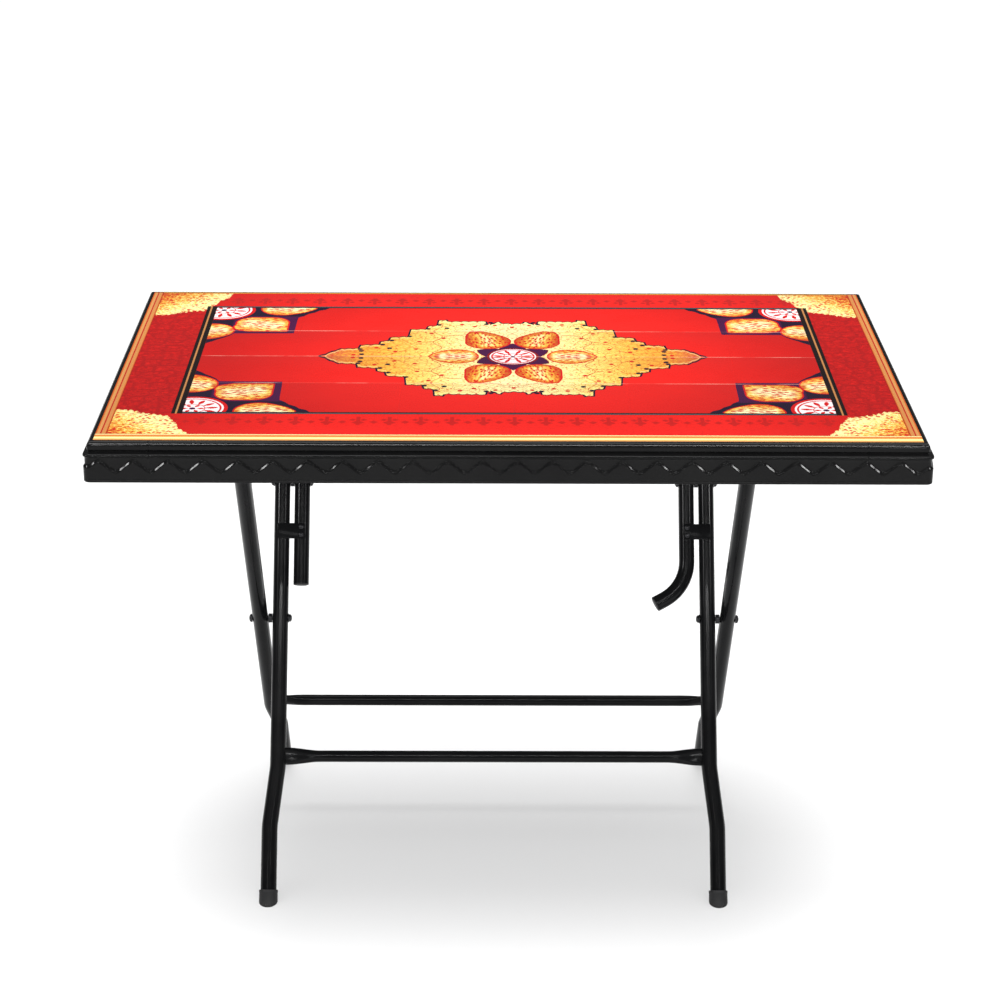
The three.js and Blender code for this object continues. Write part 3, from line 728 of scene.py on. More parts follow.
    def medallion(self):
        made = self.made
        outline = (
            (0, 143), (14, 146), (16, 152), (23, 151), (33, 138), (35, 155),
            (89, 153), (91, 161), (105, 158),
            (106, 135), (119, 131), (121, 119), (143, 116), (145, 85),
            (170, 81), (172, 66), (183, 63), (184, 50),
            (210, 47), (211, 33), (235, 31), (246, 20), (256, 7), (263, 0),
        )
        scallop = abs((self.u * 0.26).math("SINE")) * 2.6
        here = self.outline(self.u, outline) + scallop - self.v
        inner = (self.outline(self.u + 2.4, outline).lowest(self.outline(self.u - 2.4, outline))
                 + scallop - self.v - 2.4)
        self.lay(here.inside(), NAVY)
        shade = self.u / 260 + made.between(self.grain, 0.3, 0.7, -0.1, 0.1)
        self.lay(inner.inside(), made.ramp(shade, (
            (0.0, linear(253, 244, 176)), (0.26, linear(252, 240, 160)), (0.42, linear(251, 222, 118)),
            (0.6, linear(244, 190, 76)), (0.8, GOLD),
            (0.92, linear(214, 118, 60)), (1.0, linear(196, 84, 48)),
        )))
        body = inner.inside()
        self.lay(self.scales.inside(0.8) * body * 0.75, linear(200, 104, 44))
        curls = -abs(self.cells(self.u + 31, self.v, 11, random=0.9) - 3.4) + 0.3
        self.lay(curls.inside(0.8) * body * 0.6, linear(196, 70, 36))
        ribbon = (-abs(self.u - 103 - (self.v * 0.13).math("SINE") * 6) + 0.8)
        arch = (-abs(self.v - 116 + self.u * self.u * 0.004 - (self.u * 0.16).math("SINE") * 4) + 0.8)
        inset = (-abs(inner - 15 - (self.u * 0.19).math("SINE") * 3) + 0.6)
        self.lay(ribbon.highest(arch).highest(inset).inside(0.8) * body * 0.75, linear(186, 40, 26))
        light = (-abs(inner - 4) + 1.4)
        self.lay(light.inside(1.2) * body * 0.5, CREAM)
        specks = ((0, 128), (52, 131), (95, 78), (128, 63), (132, 31),
            (160, 20), (186, 36), (216, 6), (112, 100),
                  (70, 140), (24, 137))
        self.lay(self.discs(self.u, self.v, specks, 3.1).inside(1.0) * body, SPECK)
        self.lay((-self.cells(self.u, self.v, 15, random=0.9) + 1.5).inside(0.8) * body * 0.8, SPECK)
        notches = ((205, 8), (208, 30), (206, 22), (178, 50), (168, 34), (166, 68), (142, 86), (117, 120),
                   (91, 123), (102, 138), (36, 142), (30, 149))
        self.lay(self.discs(self.u, self.v, notches, 3.6).inside(1.0), NAVY)

    def flower(self):
        away = (self.u * self.u + self.v * self.v).math("SQRT")
        turn = self.v.math("ARCTAN2", self.u)
        fold = (turn - math.pi / 6).math("PINGPONG", math.pi / 6)
        star = fold * -36 + 55 - away
        self.lay((star + 1.4).inside(), WINE)
        self.lay(star.inside(), PURPLE)
        point = self.drop(self.u, self.v, (76, 0), 0.0, 28, 37)
        self.petal(self.u, self.v, point, (76, 0), 28, 0.0)
        upper = self.drop(self.u, self.v, (34, 64), math.radians(66), 30, 52)
        upper = upper.lowest(-self.u + 63).lowest(-self.v + 112 + self.u * -0.1)
        self.petal(self.u, self.v, upper, (34, 66), 30, math.radians(82), WARM_SHADES)
        self.lay((-away + 35).inside(), WINE)
        self.rosette(self.u, self.v, (0, 0), 31.5)

    def groove_highlights(self):
        """Painted highlight: pale lines are painted on the film where it dips into the moulded grid."""
        rows = self.y.math("PINGPONG", TILE[1] / 2)
        row = (-abs(rows) + 0.9).inside(0.9) * (-self.v + TILE[1] * 1.4).inside()
        # painted highlight along the grid rows, its strength varied by noise
        glare_strength = self.made.between(self.made.noise(70, 3), 0.42, 0.6, 0.08, 0.75)
        self.lay(row * glare_strength * self.inner, linear(244, 178, 160))


def printed_film():
    made = Material("printed_film", 0.24, specular=0.18)
    carpet = Carpet(made)
    carpet.grain = made.noise(4.5, 3, 0.6)
    carpet.scales = -abs(carpet.cells(carpet.u, carpet.v, 17, random=0.75) - 7.0) + 0.45
    carpet.border()
    carpet.field()
    carpet.corner_flowers()
    carpet.medallion()
    carpet.flower()
    carpet.groove_highlights()
    ink = made.noise(1.1, 2, 0.6)
    printed = made.mix(made.between(ink, 0.5, 0.75, 0.0, 0.16), carpet.colour, WINE)
    # Painted shade: the whole print is darkened by mixing in black, most at the front edge and least at the
    # rear.
    made.colour(made.mix(made.between(carpet.y, -320, 300, 0.31, 0.07), printed, (0, 0, 0, 1)))
    handling = made.noise(38, 4, 0.6)
    made.roughness(made.between(handling * 0.7 + ink * 0.3, 0.3, 0.7, 0.22, 0.36))
    made.bump((made.noise(30, 2), 0.10, 0.5), (made.noise(0.8, 2), 0.10, 0.08))
    return made.material


# ---- tabletop
side_steps = tuple(
    WAVE_STEPS * round(2 * (half - CORNER_RADIUS) / WAVE_PITCH) for half in (shell_high.x, shell_high.y)
)


def perimeter(inset, height):
    """Points round the top at one inset. height is a number, or a function of the side and its share."""
    radius = max(CORNER_RADIUS - inset, 1.5)
    half = (shell_high.x - inset - radius, shell_high.y - inset - radius)
    points = []
    for side in range(4):
        out = Matrix.Rotation(math.pi / 2 * side, 2) @ Vector((0, -1))
        ahead = Vector((-out.y, out.x))
        long_half, short_half = half if side % 2 == 0 else reversed(half)
        steps = side_steps[side % 2]
        for i in range(steps + 1):
            share = i / steps
            flat = out * (short_half + radius) + ahead * long_half * (2 * share - 1)
            up = height(side, share) if callable(height) else height
            points.append((flat.x, flat.y, up))
        centre = out * short_half + ahead * long_half
        for i in range(1, CORNER_STEPS):
            turn = math.pi / 2 * i / CORNER_STEPS
            flat = centre + (out * math.cos(turn) + ahead * math.sin(turn)) * radius
            up = height(side, 1.0) if callable(height) else height
            points.append((flat.x, flat.y, up))
    return points


def wave(lift):
    """The zigzag between the raised and the sunk part of the apron, softly rounded at its turns."""
    def height(side, share):
        turn = 2 * math.pi * share * side_steps[side % 2] / WAVE_STEPS
        zigzag = math.asin(WAVE_FULLNESS * math.sin(turn)) / math.asin(WAVE_FULLNESS)
        return TOP_Z - WAVE_BELOW_TOP + WAVE_RISE * zigzag + lift
    return height


def rim_edge():
    """The rounded upper edge of the rim, with a narrow flat in it, from its top down."""
    rounded = arc((RIM_STEP + RIM_ROUND, TOP_Z - RIM_ROUND), RIM_ROUND, 90, 180, 6)
    bevel = Vector((math.sin(RIM_BEVEL_TILT), math.cos(RIM_BEVEL_TILT))) * RIM_BEVEL
    above = [(inset + bevel.x, up) for inset, up in rounded[:5]]
    below = [(inset, up - bevel.y) for inset, up in rounded[4:]]
    flat = [tuple(Vector(above[-1]).lerp(Vector(below[0]), share)) for share in (0.1, 0.9)]
    return above + flat + below


def tabletop_moulding(material):
    bottom = shell_low.z
    seat = film_low.z - 0.3
    band_foot = TOP_Z - BAND_HEIGHT
    outside = [
        (RIM_WIDTH - 0.1, seat), (RIM_WIDTH - 0.1, TOP_Z - 0.25), (RIM_WIDTH - 0.5, TOP_Z),
        *rim_edge(),
        (RIM_STEP, band_foot + 2.6), (RIM_STEP + 0.5, band_foot + 1.6),
        (RIM_STEP + 1.5, band_foot + 1.0), (RIM_STEP + 1.7, band_foot - 0.6),
        (RIM_STEP + 0.8, band_foot - 1.5), (RIM_STEP - 0.8, band_foot - 1.6),
        (1.9, band_foot - 1.9), (0.9, band_foot - 2.3), (0.2, band_foot - 3.1), (0.0, band_foot - 4.0),
        (0.0, band_foot - 5.4), (RELIEF * 0.5, band_foot - 5.9), (RELIEF, band_foot - 6.9),
        (RELIEF, wave(3.2)), (RELIEF, wave(1.5)), (RELIEF - 0.35, wave(0.95)), (0.35, wave(-0.95)),
        (0.0, wave(-1.5)), (0.0, wave(-3.0)),
        (0.0, bottom + 4.6), (0.5, bottom + 4.2), (0.5, bottom + 3.4), (0.0, bottom + 3.0),
        (0.0, bottom + 1.3), (0.4, bottom + 0.4), (1.3, bottom),
        (SKIN - 1.1, bottom), (SKIN - 0.3, bottom + 0.4), (SKIN, bottom + 1.2),
        (SKIN + 0.4, band_foot - 8.6), (SKIN + 1.2, band_foot - 7.4),
        (RIM_STEP + SKIN - 1.2, band_foot - 6.8), (RIM_STEP + SKIN, band_foot - 5.6),
        (RIM_STEP + SKIN + 0.3, TOP_Z - SKIN - 2.2),
        (RIM_STEP + SKIN + 1.0, TOP_Z - SKIN - 0.6), (RIM_STEP + SKIN + 2.6, TOP_Z - SKIN),
    ]
    sheets = Sheets()
    sheets.loft([perimeter(inset, height) for inset, height in outside])
    shell = sheets.make("tabletop_moulding", sharp=50)
    for part in underside_parts():
        join = shell.modifiers.new("union", "BOOLEAN")
        join.operation = "UNION"
        join.solver = "MANIFOLD"
        join.object = part
        apply_modifiers(shell)
        bpy.data.objects.remove(part)
    shell.data.set_sharp_from_angle(angle=math.radians(50))
    place_piece(shell, material, "table_plastic", "tabletop", "tabletop_shell")


def apply_modifiers(piece):
    evaluated = piece.evaluated_get(bpy.context.evaluated_depsgraph_get())
    mesh = bpy.data.meshes.new_from_object(evaluated)
    piece.modifiers.clear()
    mesh.materials.clear()
    piece.data = mesh


def tapered_bar(low, high, taper):
    """A rib or boss with drafted sides, wider at its root."""
    sheets = Sheets()
    rings = []
    for up, less in ((low[2], taper + 0.3), (low[2] + 0.5, taper), (high[2], 0.0)):
        rings.append([
            (low[0] + less, low[1] + less, up), (high[0] - less, low[1] + less, up),
            (high[0] - less, high[1] - less, up), (low[0] + less, high[1] - less, up),
        ])
    sheets.loft(rings)
    return sheets


def underside_parts():
    """Ribs and screw bosses, each a closed solid that runs a little way into the plate."""
    root = TOP_Z - SKIN + 1.0
    low = TOP_Z - SKIN - RIB_DEPTH
    reach_x = shell_high.x - RIM_STEP - SKIN / 2
    reach_y = shell_high.y - RIM_STEP - SKIN / 2
    parts = []
    for i in range(1, 6):
        x = reach_x * (i / 3 - 1)
        parts.append(tapered_bar((x - RIB_HALF, -reach_y, low), (x + RIB_HALF, reach_y, root), 0.5))
    for i in range(1, 4):
        y = reach_y * (i / 2 - 1)
        parts.append(tapered_bar((-reach_x, y - RIB_HALF, low), (reach_x, y + RIB_HALF, root), 0.5))
    across, deep = BOSS_HALF
    for row, hinge in SADDLE_ROWS.items():
        for side in SIDES:
            x = middle(f"{row}_saddle_{side}").x
            foot_z = mm_box(f"{row}_saddle_{side}")[1].z + 0.3
            ends = (x - across, hinge.y - deep, foot_z), (x + across, hinge.y + deep, root)
            parts.append(tapered_bar(*ends, 1.0))
    return [part.make("underside_part") for part in parts]


def film_piece(material):
    """The film, dipped where it lies over the moulded grid."""
    columns = [GRID_MIDDLE[0] + TILE[0] * i for i in range(-2, 3)]
    rows = [GRID_MIDDLE[1] + TILE[1] * i for i in range(-1, 2)]

    def stations(low, high, centre, half, grooves):
        marks = {low, low + 0.4, high - 0.4, high}
        marks.update((centre - half, centre - half + 1, centre + half - 1, centre + half))
        for groove in grooves:
            marks.update(groove + GROOVE_HALF * share for share in (-1, -0.5, 0, 0.5, 1))
        return sorted(marks)

    def dip(value, grooves):
        return max(smooth(1 - abs(value - groove) / GROOVE_HALF) for groove in grooves)

    xs = stations(film_low.x, film_high.x, FIELD_MIDDLE[0], FIELD_HALF[0], columns)
    ys = stations(film_low.y, film_high.y, FIELD_MIDDLE[1], FIELD_HALF[1], rows)
    sheets = Sheets()
    grid = []
    for y in ys:
        line = []
        for x in xs:
            in_x = abs(x - FIELD_MIDDLE[0]) < FIELD_HALF[0] - 0.5
            in_y = abs(y - FIELD_MIDDLE[1]) < FIELD_HALF[1] - 0.5
            sunk = GROOVE_DEPTH * max(dip(x, columns), dip(y, rows)) if in_x and in_y else 0.0
            at_edge = x in (xs[0], xs[-1]) or y in (ys[0], ys[-1])
            line.append((x, y, film_high.z - (0.12 if at_edge else sunk)))
        grid.append(sheets.ring(line))
    for lower, upper in zip(grid, grid[1:]):
        sheets.strip(lower, upper, closed=False)
    rim = grid[0] + [line[-1] for line in grid[1:-1]]
    rim += grid[-1][::-1] + [line[0] for line in grid[-2:0:-1]]
    under = sheets.ring([(sheets.points[i][0], sheets.points[i][1], film_low.z) for i in rim])
    sheets.strip(rim, under)
    sheets.faces.append(tuple(under))
    film = sheets.make("printed_carpet_film", sharp=30)
    place_piece(film, material, "printed_top", "tabletop", "printed_film")


# ---- steel frames
def tube(sheets, corners, radii):
    """A round tube through corners, bent at each."""
    route = rounded_route(corners, radii)
    sweep(sheets, route, lambda share: circle(TUBE_RADIUS), (1, 0, 0))


def leg_corners(foot_place, upper_x, joggle, side, up, length):
    """From the floor up, with the sideways step of the lower leg."""
    base = Vector((0, foot_place.y, 0))
    low_x = foot_place.x
    places = ((SOLE_LIFT, low_x), (joggle[0], low_x), (joggle[1], upper_x), (length, upper_x))
    return [base + up * reach + Vector((pivot.x + side * abs(x), 0, 0)) for reach, x in places]


def half_length(node):
    low, high = mm_box(node)
    return (high.x - low.x) / 2


def outer_frame(coat):
    place = foot("outer")
    length = (front_hinge - Vector((front_hinge.x, place.y, 0))).length
    upper_x = half_length("outer_top_bar") - TUBE_RADIUS
    left = leg_corners(place, upper_x, OUTER_JOGGLE, -1, outer_up, length)
    right = leg_corners(place, upper_x, OUTER_JOGGLE, 1, outer_up, length)
    sheets = Sheets()
    joggles = [OUTER_JOGGLE_BEND] * 2
    tube(sheets, left + right[::-1], [*joggles, CORNER_BEND, CORNER_BEND, *joggles])
    piece = sheets.make("outer_frame_tube", sharp=60)
    nodes = ("outer_leg_left", "outer_leg_right", "outer_top_bar")
    place_piece(piece, coat, "powder_coat", "outer_frame", *nodes)


def inner_legs(coat):
    place = foot("inner")
    top = middle("inner_leg_plug_right")
    upper_x = top.x - pivot.x
    length = (Vector((0, top.y, top.z)) - Vector((0, place.y, 0))).length + 1.0
    for side_name, side in SIDES.items():
        corners = leg_corners(place, upper_x, INNER_JOGGLE, side, inner_up, length)
        sheets = Sheets()
        tube(sheets, corners, [INNER_JOGGLE_BEND] * 2)
        piece = sheets.make(f"inner_leg_tube_{side_name}", sharp=60)
        place_piece(piece, coat, "powder_coat", "inner_frame", f"inner_leg_{side_name}")


def lever_ends():
    """The left arm's end, then the corner of the handle's bend, the handle's end and its axis."""
    left_end = Vector((pivot.x - lever_x, knee.y, knee.z)) + lever_down * LEVER_TAIL
    setback = HANDLE_BEND * math.tan(HANDLE_TURN / 2)
    bend_corner = Vector((pivot.x + lever_x, knee.y, knee.z)) + lever_down * (HANDLE_STRAIGHT + setback)
    axis = lever_down * math.cos(HANDLE_TURN) - Vector((math.sin(HANDLE_TURN), 0, 0))
    return left_end, bend_corner, bend_corner + axis * (setback + HANDLE_END), axis


def lever_frame(coat):
    left_end, bend_corner, right_end, _ = lever_ends()
    corners = [
        left_end, Vector((pivot.x - lever_x, rear_hinge.y, rear_hinge.z)),
        Vector((pivot.x + lever_x, rear_hinge.y, rear_hinge.z)), bend_corner, right_end,
    ]
    sheets = Sheets()
    tube(sheets, corners, [CORNER_BEND, CORNER_BEND, HANDLE_BEND])
    piece = sheets.make("lever_frame_tube", sharp=60)
    nodes = ("lever_top_bar", "lever_arm_left", "lever_arm_right")
    place_piece(piece, coat, "powder_coat", "lever_frame", *nodes)


def stretcher(coat, name, body, along_leg):
    """A tube between two legs, pressed flat along the legs at its ends and welded on."""
    centre = middle(name)
    half = half_length(name) + STRETCHER_SINK

    def outline(share):
        from_end = min(share, 1 - share) * 2 * half
        pressed = smooth(1 - (from_end - 6) / FISHTAIL)
        crease = 1 + 0.06 * math.exp(-((from_end - FISHTAIL * 0.75) / 9) ** 2)
        return circle(STRETCHER_RADIUS, across=1 + 0.5 * pressed, high=(1 - 0.62 * pressed) * crease)

    steps = [0.0, *(FISHTAIL * 1.25 * i / 14 / (2 * half) for i in range(1, 15))]
    shares = sorted({*steps, *(1 - s for s in steps), 0.3, 0.5, 0.7})
    route = [Vector((centre.x - half + 2 * half * s, centre.y, centre.z)) for s in shares]
    sheets = Sheets()
    sweep(sheets, route, outline, along_leg)
    piece = sheets.make(f"{name}_tube", sharp=60)
    place_piece(piece, coat, "powder_coat", body, name)
    for side_name, side in SIDES.items():
        weld_bead(coat, f"{name}_weld_{side_name}", centre, side, half, along_leg, body)


def weld_bead(coat, name, centre, side, half, along_leg, body):
    """A rippled bead round the flattened end, where it meets the leg."""
    across = STRETCHER_RADIUS * 1.5
    high = STRETCHER_RADIUS * 0.38
    other = Vector((1, 0, 0)).cross(along_leg)
    outward = Vector((side, 0, 0))
    count = 72
    sheets = Sheets()
    made = []
    for i in range(count):
        turn = 2 * math.pi * i / count
        ripple = 1 + 0.16 * math.sin(turn * 22)
        outwards = along_leg * math.cos(turn) + other * math.sin(turn)
        place = centre + along_leg * across * math.cos(turn) + other * high * math.sin(turn)
        # The leg is round, so the seam falls back where it is away from the leg's middle line.
        aside = min(abs(high * math.sin(turn)), TUBE_RADIUS - 1)
        fall = TUBE_RADIUS - math.sqrt(TUBE_RADIUS ** 2 - aside ** 2)
        place = place + outward * (half - 1.2 + fall)
        made.append(sheets.ring([
            place + outwards * WELD_BEAD * ripple * math.cos(t) + outward * WELD_BEAD * math.sin(t)
            for t in (2 * math.pi * j / 8 for j in range(8))
        ]))
    for lower, upper in zip(made, made[1:] + made[:1]):
        sheets.strip(lower, upper)
    piece = sheets.make(name, sharp=70)
    place_piece(piece, coat, "powder_coat", body)


def foot_cap(plastic, name, side_name, up, body):
    """A cup on the leg's end, with a collar at its mouth, cut flat where it stands on the floor."""
    place = foot(name)
    base = Vector((pivot.x + SIDES[side_name] * abs(place.x), place.y, 0))
    other = Vector((1, 0, 0)).cross(up)
    sides = 36
    # Wall beyond the tube, how free the ring is of the floor's slope (1 is square to the leg), height.
    profile = [
        (0.6, 0.0, 0.0), (1.6, 0.0, 0.6), (1.9, 0.0, 1.4), (1.9, 0.35, 2.2), (1.7, 1.0, 12.6),
        (1.9, 1.0, 13.2), (2.0, 1.0, 14.0), (2.0, 1.0, 16.2), (1.7, 1.0, 16.8), (1.1, 1.0, 17.0),
        (0.4, 1.0, 16.8), (0.1, 1.0, 16.3), (0.1, 1.0, 8.6),
    ]
    rings = []
    for thick, free, height in profile:
        radius = TUBE_RADIUS + thick
        ring = []
        for i in range(sides):
            turn = 2 * math.pi * i / sides
            flat = Vector((1, 0, 0)) * math.cos(turn) + other * math.sin(turn)
            floor_height = -(flat.z * radius) / up.z
            at = height if free == 1 else floor_height * (1 - free) + height
            point = base + flat * radius + up * at
            ring.append(point if point.z > 0 else point - up * (point.z / up.z))
        rings.append(ring)
    sheets = Sheets()
    sheets.loft(rings)
    piece = sheets.make(f"{name}_foot_{side_name}", sharp=45)
    place_piece(piece, plastic, "cap_plastic", body, f"{name}_foot_cap_{side_name}")


def tube_plug(plastic, node, end, axis, body):
    """A domed plug with a lip that sits on the tube's cut end."""
    lip = TUBE_RADIUS
    profile = [
        (0.0, -6.0), (lip - 1.7, -6.0), (lip - 1.6, 0.2), (lip - 0.3, 0.3), (lip, 0.7), (lip - 0.1, 1.2),
        (lip - 0.8, 1.8), (lip - 2.6, 2.3), (lip - 6.0, 2.6), (0.0, 2.7),
    ]
    sheets = Sheets()
    turned(sheets, profile, end, axis, sides=32)
    piece = sheets.make(f"{node}_moulded", sharp=50)
    place_piece(piece, plastic, "cap_plastic", body, node)


def plugs(plastic):
    left_end, _, right_end, handle_axis = lever_ends()
    for side_name in SIDES:
        top = middle(f"inner_leg_plug_{side_name}")
        end = Vector((top.x, knee.y, knee.z)) + inner_up * INNER_OVERRUN
        tube_plug(plastic, f"inner_leg_plug_{side_name}", end, inner_up, "inner_frame")
    tube_plug(plastic, "lever_plug_left", left_end, lever_down, "lever_frame")
    tube_plug(plastic, "lever_plug_right", right_end, handle_axis, "lever_frame")


# ---- bolts, plates, saddles, screws
def hexagon(radius, turn):
    """A six-sided ring whose corners reach radius."""
    fold = (turn + math.pi / 6) % (math.pi / 3) - math.pi / 6
    return radius * math.cos(math.pi / 6) / math.cos(math.pi / 6 - abs(fold))


def bolt_end(sheets, base, axis, radius, height, hexed):
    """A washer, then a domed bolt head or a six-sided cap nut."""
    washer = [(0.0, 0.0), (radius, 0.0), (radius, 0.7), (radius - 0.3, 1.0), (0.0, 1.0)]
    turned(sheets, washer, base, axis, sides=36)
    if hexed:
        body = [(0.0, 0.9), (radius * 0.86, 0.9), (radius * 0.92, 1.2), (radius * 0.92, height * 0.62),
                (radius * 0.8, height * 0.7)]
        turned(sheets, [*body, (0.0, height * 0.7)], base, axis, sides=36, shape=hexagon)
        cap = radius * 0.72
        rise = height * 0.34
        dome = [(a, height - rise + b * rise / cap) for a, b in arc((0, 0), cap, 0, 90, 5)]
        turned(sheets, [(0.0, height * 0.6), (cap, height * 0.6), *dome], base, axis, sides=36)
    else:
        dome = [(a * radius * 0.95, 1.3 + b * (height - 1.3)) for a, b in arc((0, 0), 1.0, 0, 90, 7)]
        turned(sheets, [(0.0, 0.8), (radius * 0.95, 0.8), *dome], base, axis, sides=36)


def shank(sheets, base, axis, radius, length):
    turned(sheets, [(0.0, 0.0), (radius, 0.0), (radius, length), (0.0, length)], base, axis, sides=20)


def spacer(sheets, base, axis, length):
    """A ring round a bolt, with both edges of its outside broken."""
    profile = (
        (3.4, 0.0), (6.0, 0.0), (6.5, 0.45), (6.5, length - 0.45), (6.0, length), (3.4, length),
    )
    axis = Vector(axis)
    side = Vector((0, 0, 1))
    other = axis.cross(side)
    made = []
    for radius, height in profile:
        turns = (2 * math.pi * i / 36 for i in range(36))
        made.append(sheets.ring([
            base + axis * height + (side * math.cos(t) + other * math.sin(t)) * radius for t in turns
        ]))
    for lower, upper in zip(made, made[1:] + made[:1]):
        sheets.strip(lower, upper)


def bolts(black):
    for side_name, side in SIDES.items():
        out = Vector((side, 0, 0))
        rows = (
            ("pivot_bolt", "outer_frame", 1, False), ("pivot_nut", "outer_frame", -1, True),
            ("knee_bolt", "lever_frame", -1, False), ("knee_nut", "inner_frame", 1, True),
        )
        for kind, body, facing, hexed in rows:
            node = f"{kind}_{side_name}"
            low, high = mm_box(node)
            centre = middle(node)
            axis = out * facing
            outermost = high.x if axis.x > 0 else low.x
            innermost = low.x if axis.x > 0 else high.x
            height = NUT_HEIGHT if hexed else BOLT_HEIGHT
            seat = Vector((outermost, centre.y, centre.z)) - axis * height
            sheets = Sheets()
            bolt_end(sheets, seat, axis, BOLT_RADIUS, height, hexed)
            length = abs(seat.x - innermost)
            if length > 1:
                shank(sheets, seat - axis * length, axis, SHANK_RADIUS, length + 0.5)
            place_piece(sheets.make(f"{node}_steel", sharp=35), black, "black_hardware", body, node)
        for kind, body in (("pivot_spacer", "outer_frame"), ("knee_spacer", "lever_frame")):
            node = f"{kind}_{side_name}"
            low, high = mm_box(node)
            centre = middle(node)
            sheets = Sheets()
            spacer(sheets, Vector((low.x, centre.y, centre.z)), (1, 0, 0), high.x - low.x)
            place_piece(sheets.make(f"{node}_steel", sharp=35), black, "black_hardware", body, node)


def rounded_plate(length, height, corner, steps=5):
    points = []
    for quarter in range(4):
        sign_a = 1 if quarter in (0, 3) else -1
        sign_b = 1 if quarter in (0, 1) else -1
        centre = (sign_a * (length / 2 - corner), sign_b * (height / 2 - corner))
        points.extend(arc(centre, corner, 90 * quarter, 90 * quarter + 90, steps))
    return points


def stop_plates(coat, black):
    normal = lever_down.cross(Vector((1, 0, 0)))
    for side_name, side in SIDES.items():
        centre = middle(f"stop_plate_{side_name}")
        sheets = Sheets()
        rings = []
        flat = PLATE_HALF - PLATE_CHAMFER
        for up, less in ((-PLATE_HALF, 0.4), (-flat, 0.0), (flat, 0.0), (PLATE_HALF, 0.4)):
            length, height = (size - 2 * less for size in PLATE_SIZE)
            outline = rounded_plate(length, height, PLATE_CORNER)
            rings.append([centre + Vector((a, 0, 0)) + lever_down * b + normal * up for a, b in outline])
        sheets.loft(rings)
        node = f"stop_plate_{side_name}"
        place_piece(sheets.make(f"{node}_steel", sharp=35), coat, "powder_coat", "lever_frame", node)
        for index in (1, 2):
            node = f"stop_rivet_{side_name}_{index}"
            along = (middle(node) - centre).dot(lever_down)
            seat = centre + lever_down * along + normal * PLATE_HALF
            seat.x = pivot.x + side * lever_x
            sheets = Sheets()
            dome = [(a * RIVET_RADIUS, b * RIVET_HEIGHT) for a, b in arc((0, 0), 1.0, 0, 90, 6)]
            turned(sheets, [(0.0, -7.0), (2.0, -7.0), (2.0, 0.0), (3.5, 0.0), *dome], seat, normal, sides=28)
            place_piece(sheets.make(f"{node}_steel", sharp=35), black, "black_hardware", "lever_frame", node)


def saddles(zinc):
    """Pressed straps round the top bars."""
    for row, hinge in SADDLE_ROWS.items():
        for side_name in SIDES:
            node = f"{row}_saddle_{side_name}"
            low, high = mm_box(node)
            x = (low.x + high.x) / 2
            line = TUBE_RADIUS + SADDLE_CLEARANCE + STRAP_THICKNESS / 2
            foot_z = high.z - STRAP_THICKNESS / 2
            corners = [
                Vector((x, low.y, foot_z)), Vector((x, hinge.y - line, foot_z)),
                Vector((x, hinge.y - line, hinge.z - line)), Vector((x, hinge.y + line, hinge.z - line)),
                Vector((x, hinge.y + line, foot_z)), Vector((x, high.y, foot_z)),
            ]
            route = rounded_route(corners, [1.6, line - 0.05, line - 0.05, 1.6], step=math.radians(9))
            half = (high.x - low.x) / 2
            strap_length = sum((b - a).length for a, b in zip(route, route[1:]))

            def outline(share):
                from_end = min(share, 1 - share) * strap_length
                short = STRAP_CORNER - min(from_end, STRAP_CORNER)
                narrow = half - STRAP_CORNER + math.sqrt(STRAP_CORNER ** 2 - short ** 2)
                across = narrow - STRAP_EDGE
                face = STRAP_THICKNESS / 2
                wall = face - STRAP_EDGE
                return [
                    (narrow, wall), (across, face), (-across, face), (-narrow, wall),
                    (-narrow, -wall), (-across, -face), (across, -face), (narrow, -wall),
                ]

            sheets = Sheets()
            first = route[0]
            last = route[-1]
            near_end = (0.35, 0.9, 1.8, STRAP_CORNER)
            leading = [first + Vector((0, step, 0)) for step in near_end]
            trailing = [last - Vector((0, step, 0)) for step in reversed(near_end)]
            sweep(sheets, [first, *leading, *route[1:-1], *trailing, last], outline, (1, 0, 0))
            place_piece(sheets.make(f"{node}_strap", sharp=35), zinc, "zinc_steel", "tabletop", node)
            for index in (1, 2):
                saddle_screw(zinc, f"{row}_saddle_screw_{side_name}_{index}")


def saddle_screw(zinc, node):
    """A pan-head screw with a cross recess, its head downwards."""
    centre = middle(node)
    seat = Vector((centre.x, centre.y, mm_box(node)[0].z + 2.4))
    down = Vector((0, 0, -1))

    def cross(radius, turn):
        if radius > 2.5:
            return radius
        fold = (turn + math.pi / 4) % (math.pi / 2) - math.pi / 4
        arm = RECESS_ARM / max(abs(math.sin(fold)), 1e-3)
        return min(radius, max(arm, RECESS_ARM * 1.42)) if abs(fold) > 0.01 else radius

    head = [
        (0.0, -6.5), (1.9, -6.5), (1.9, 0.0), (3.85, 0.05), (4.0, 0.4), (3.95, 1.0),
        (3.6, 1.7), (3.0, 2.15), (2.55, 2.3), (2.2, 2.35), (2.0, 1.0), (0.0, 0.8),
    ]
    sheets = Sheets()
    turned(sheets, head, seat, down, sides=48, shape=cross)
    piece = sheets.make(f"{node}_steel", sharp=35)
    place_piece(piece, zinc, "zinc_steel", "tabletop", node)


# ---- studio
def area_light(name, place, aim, size, power):
    light = bpy.data.lights.new(name, "AREA")
    light.shape = "RECTANGLE"
    light.size, light.size_y = size
    light.energy = power
    lamp = bpy.data.objects.new(name, light)
    bpy.context.scene.collection.objects.link(lamp)
    lamp.location = place
    lamp.rotation_euler = (Vector(aim) - Vector(place)).to_track_quat("-Z", "Y").to_euler()
    lamp.visible_camera = False
    light.use_shadow = False


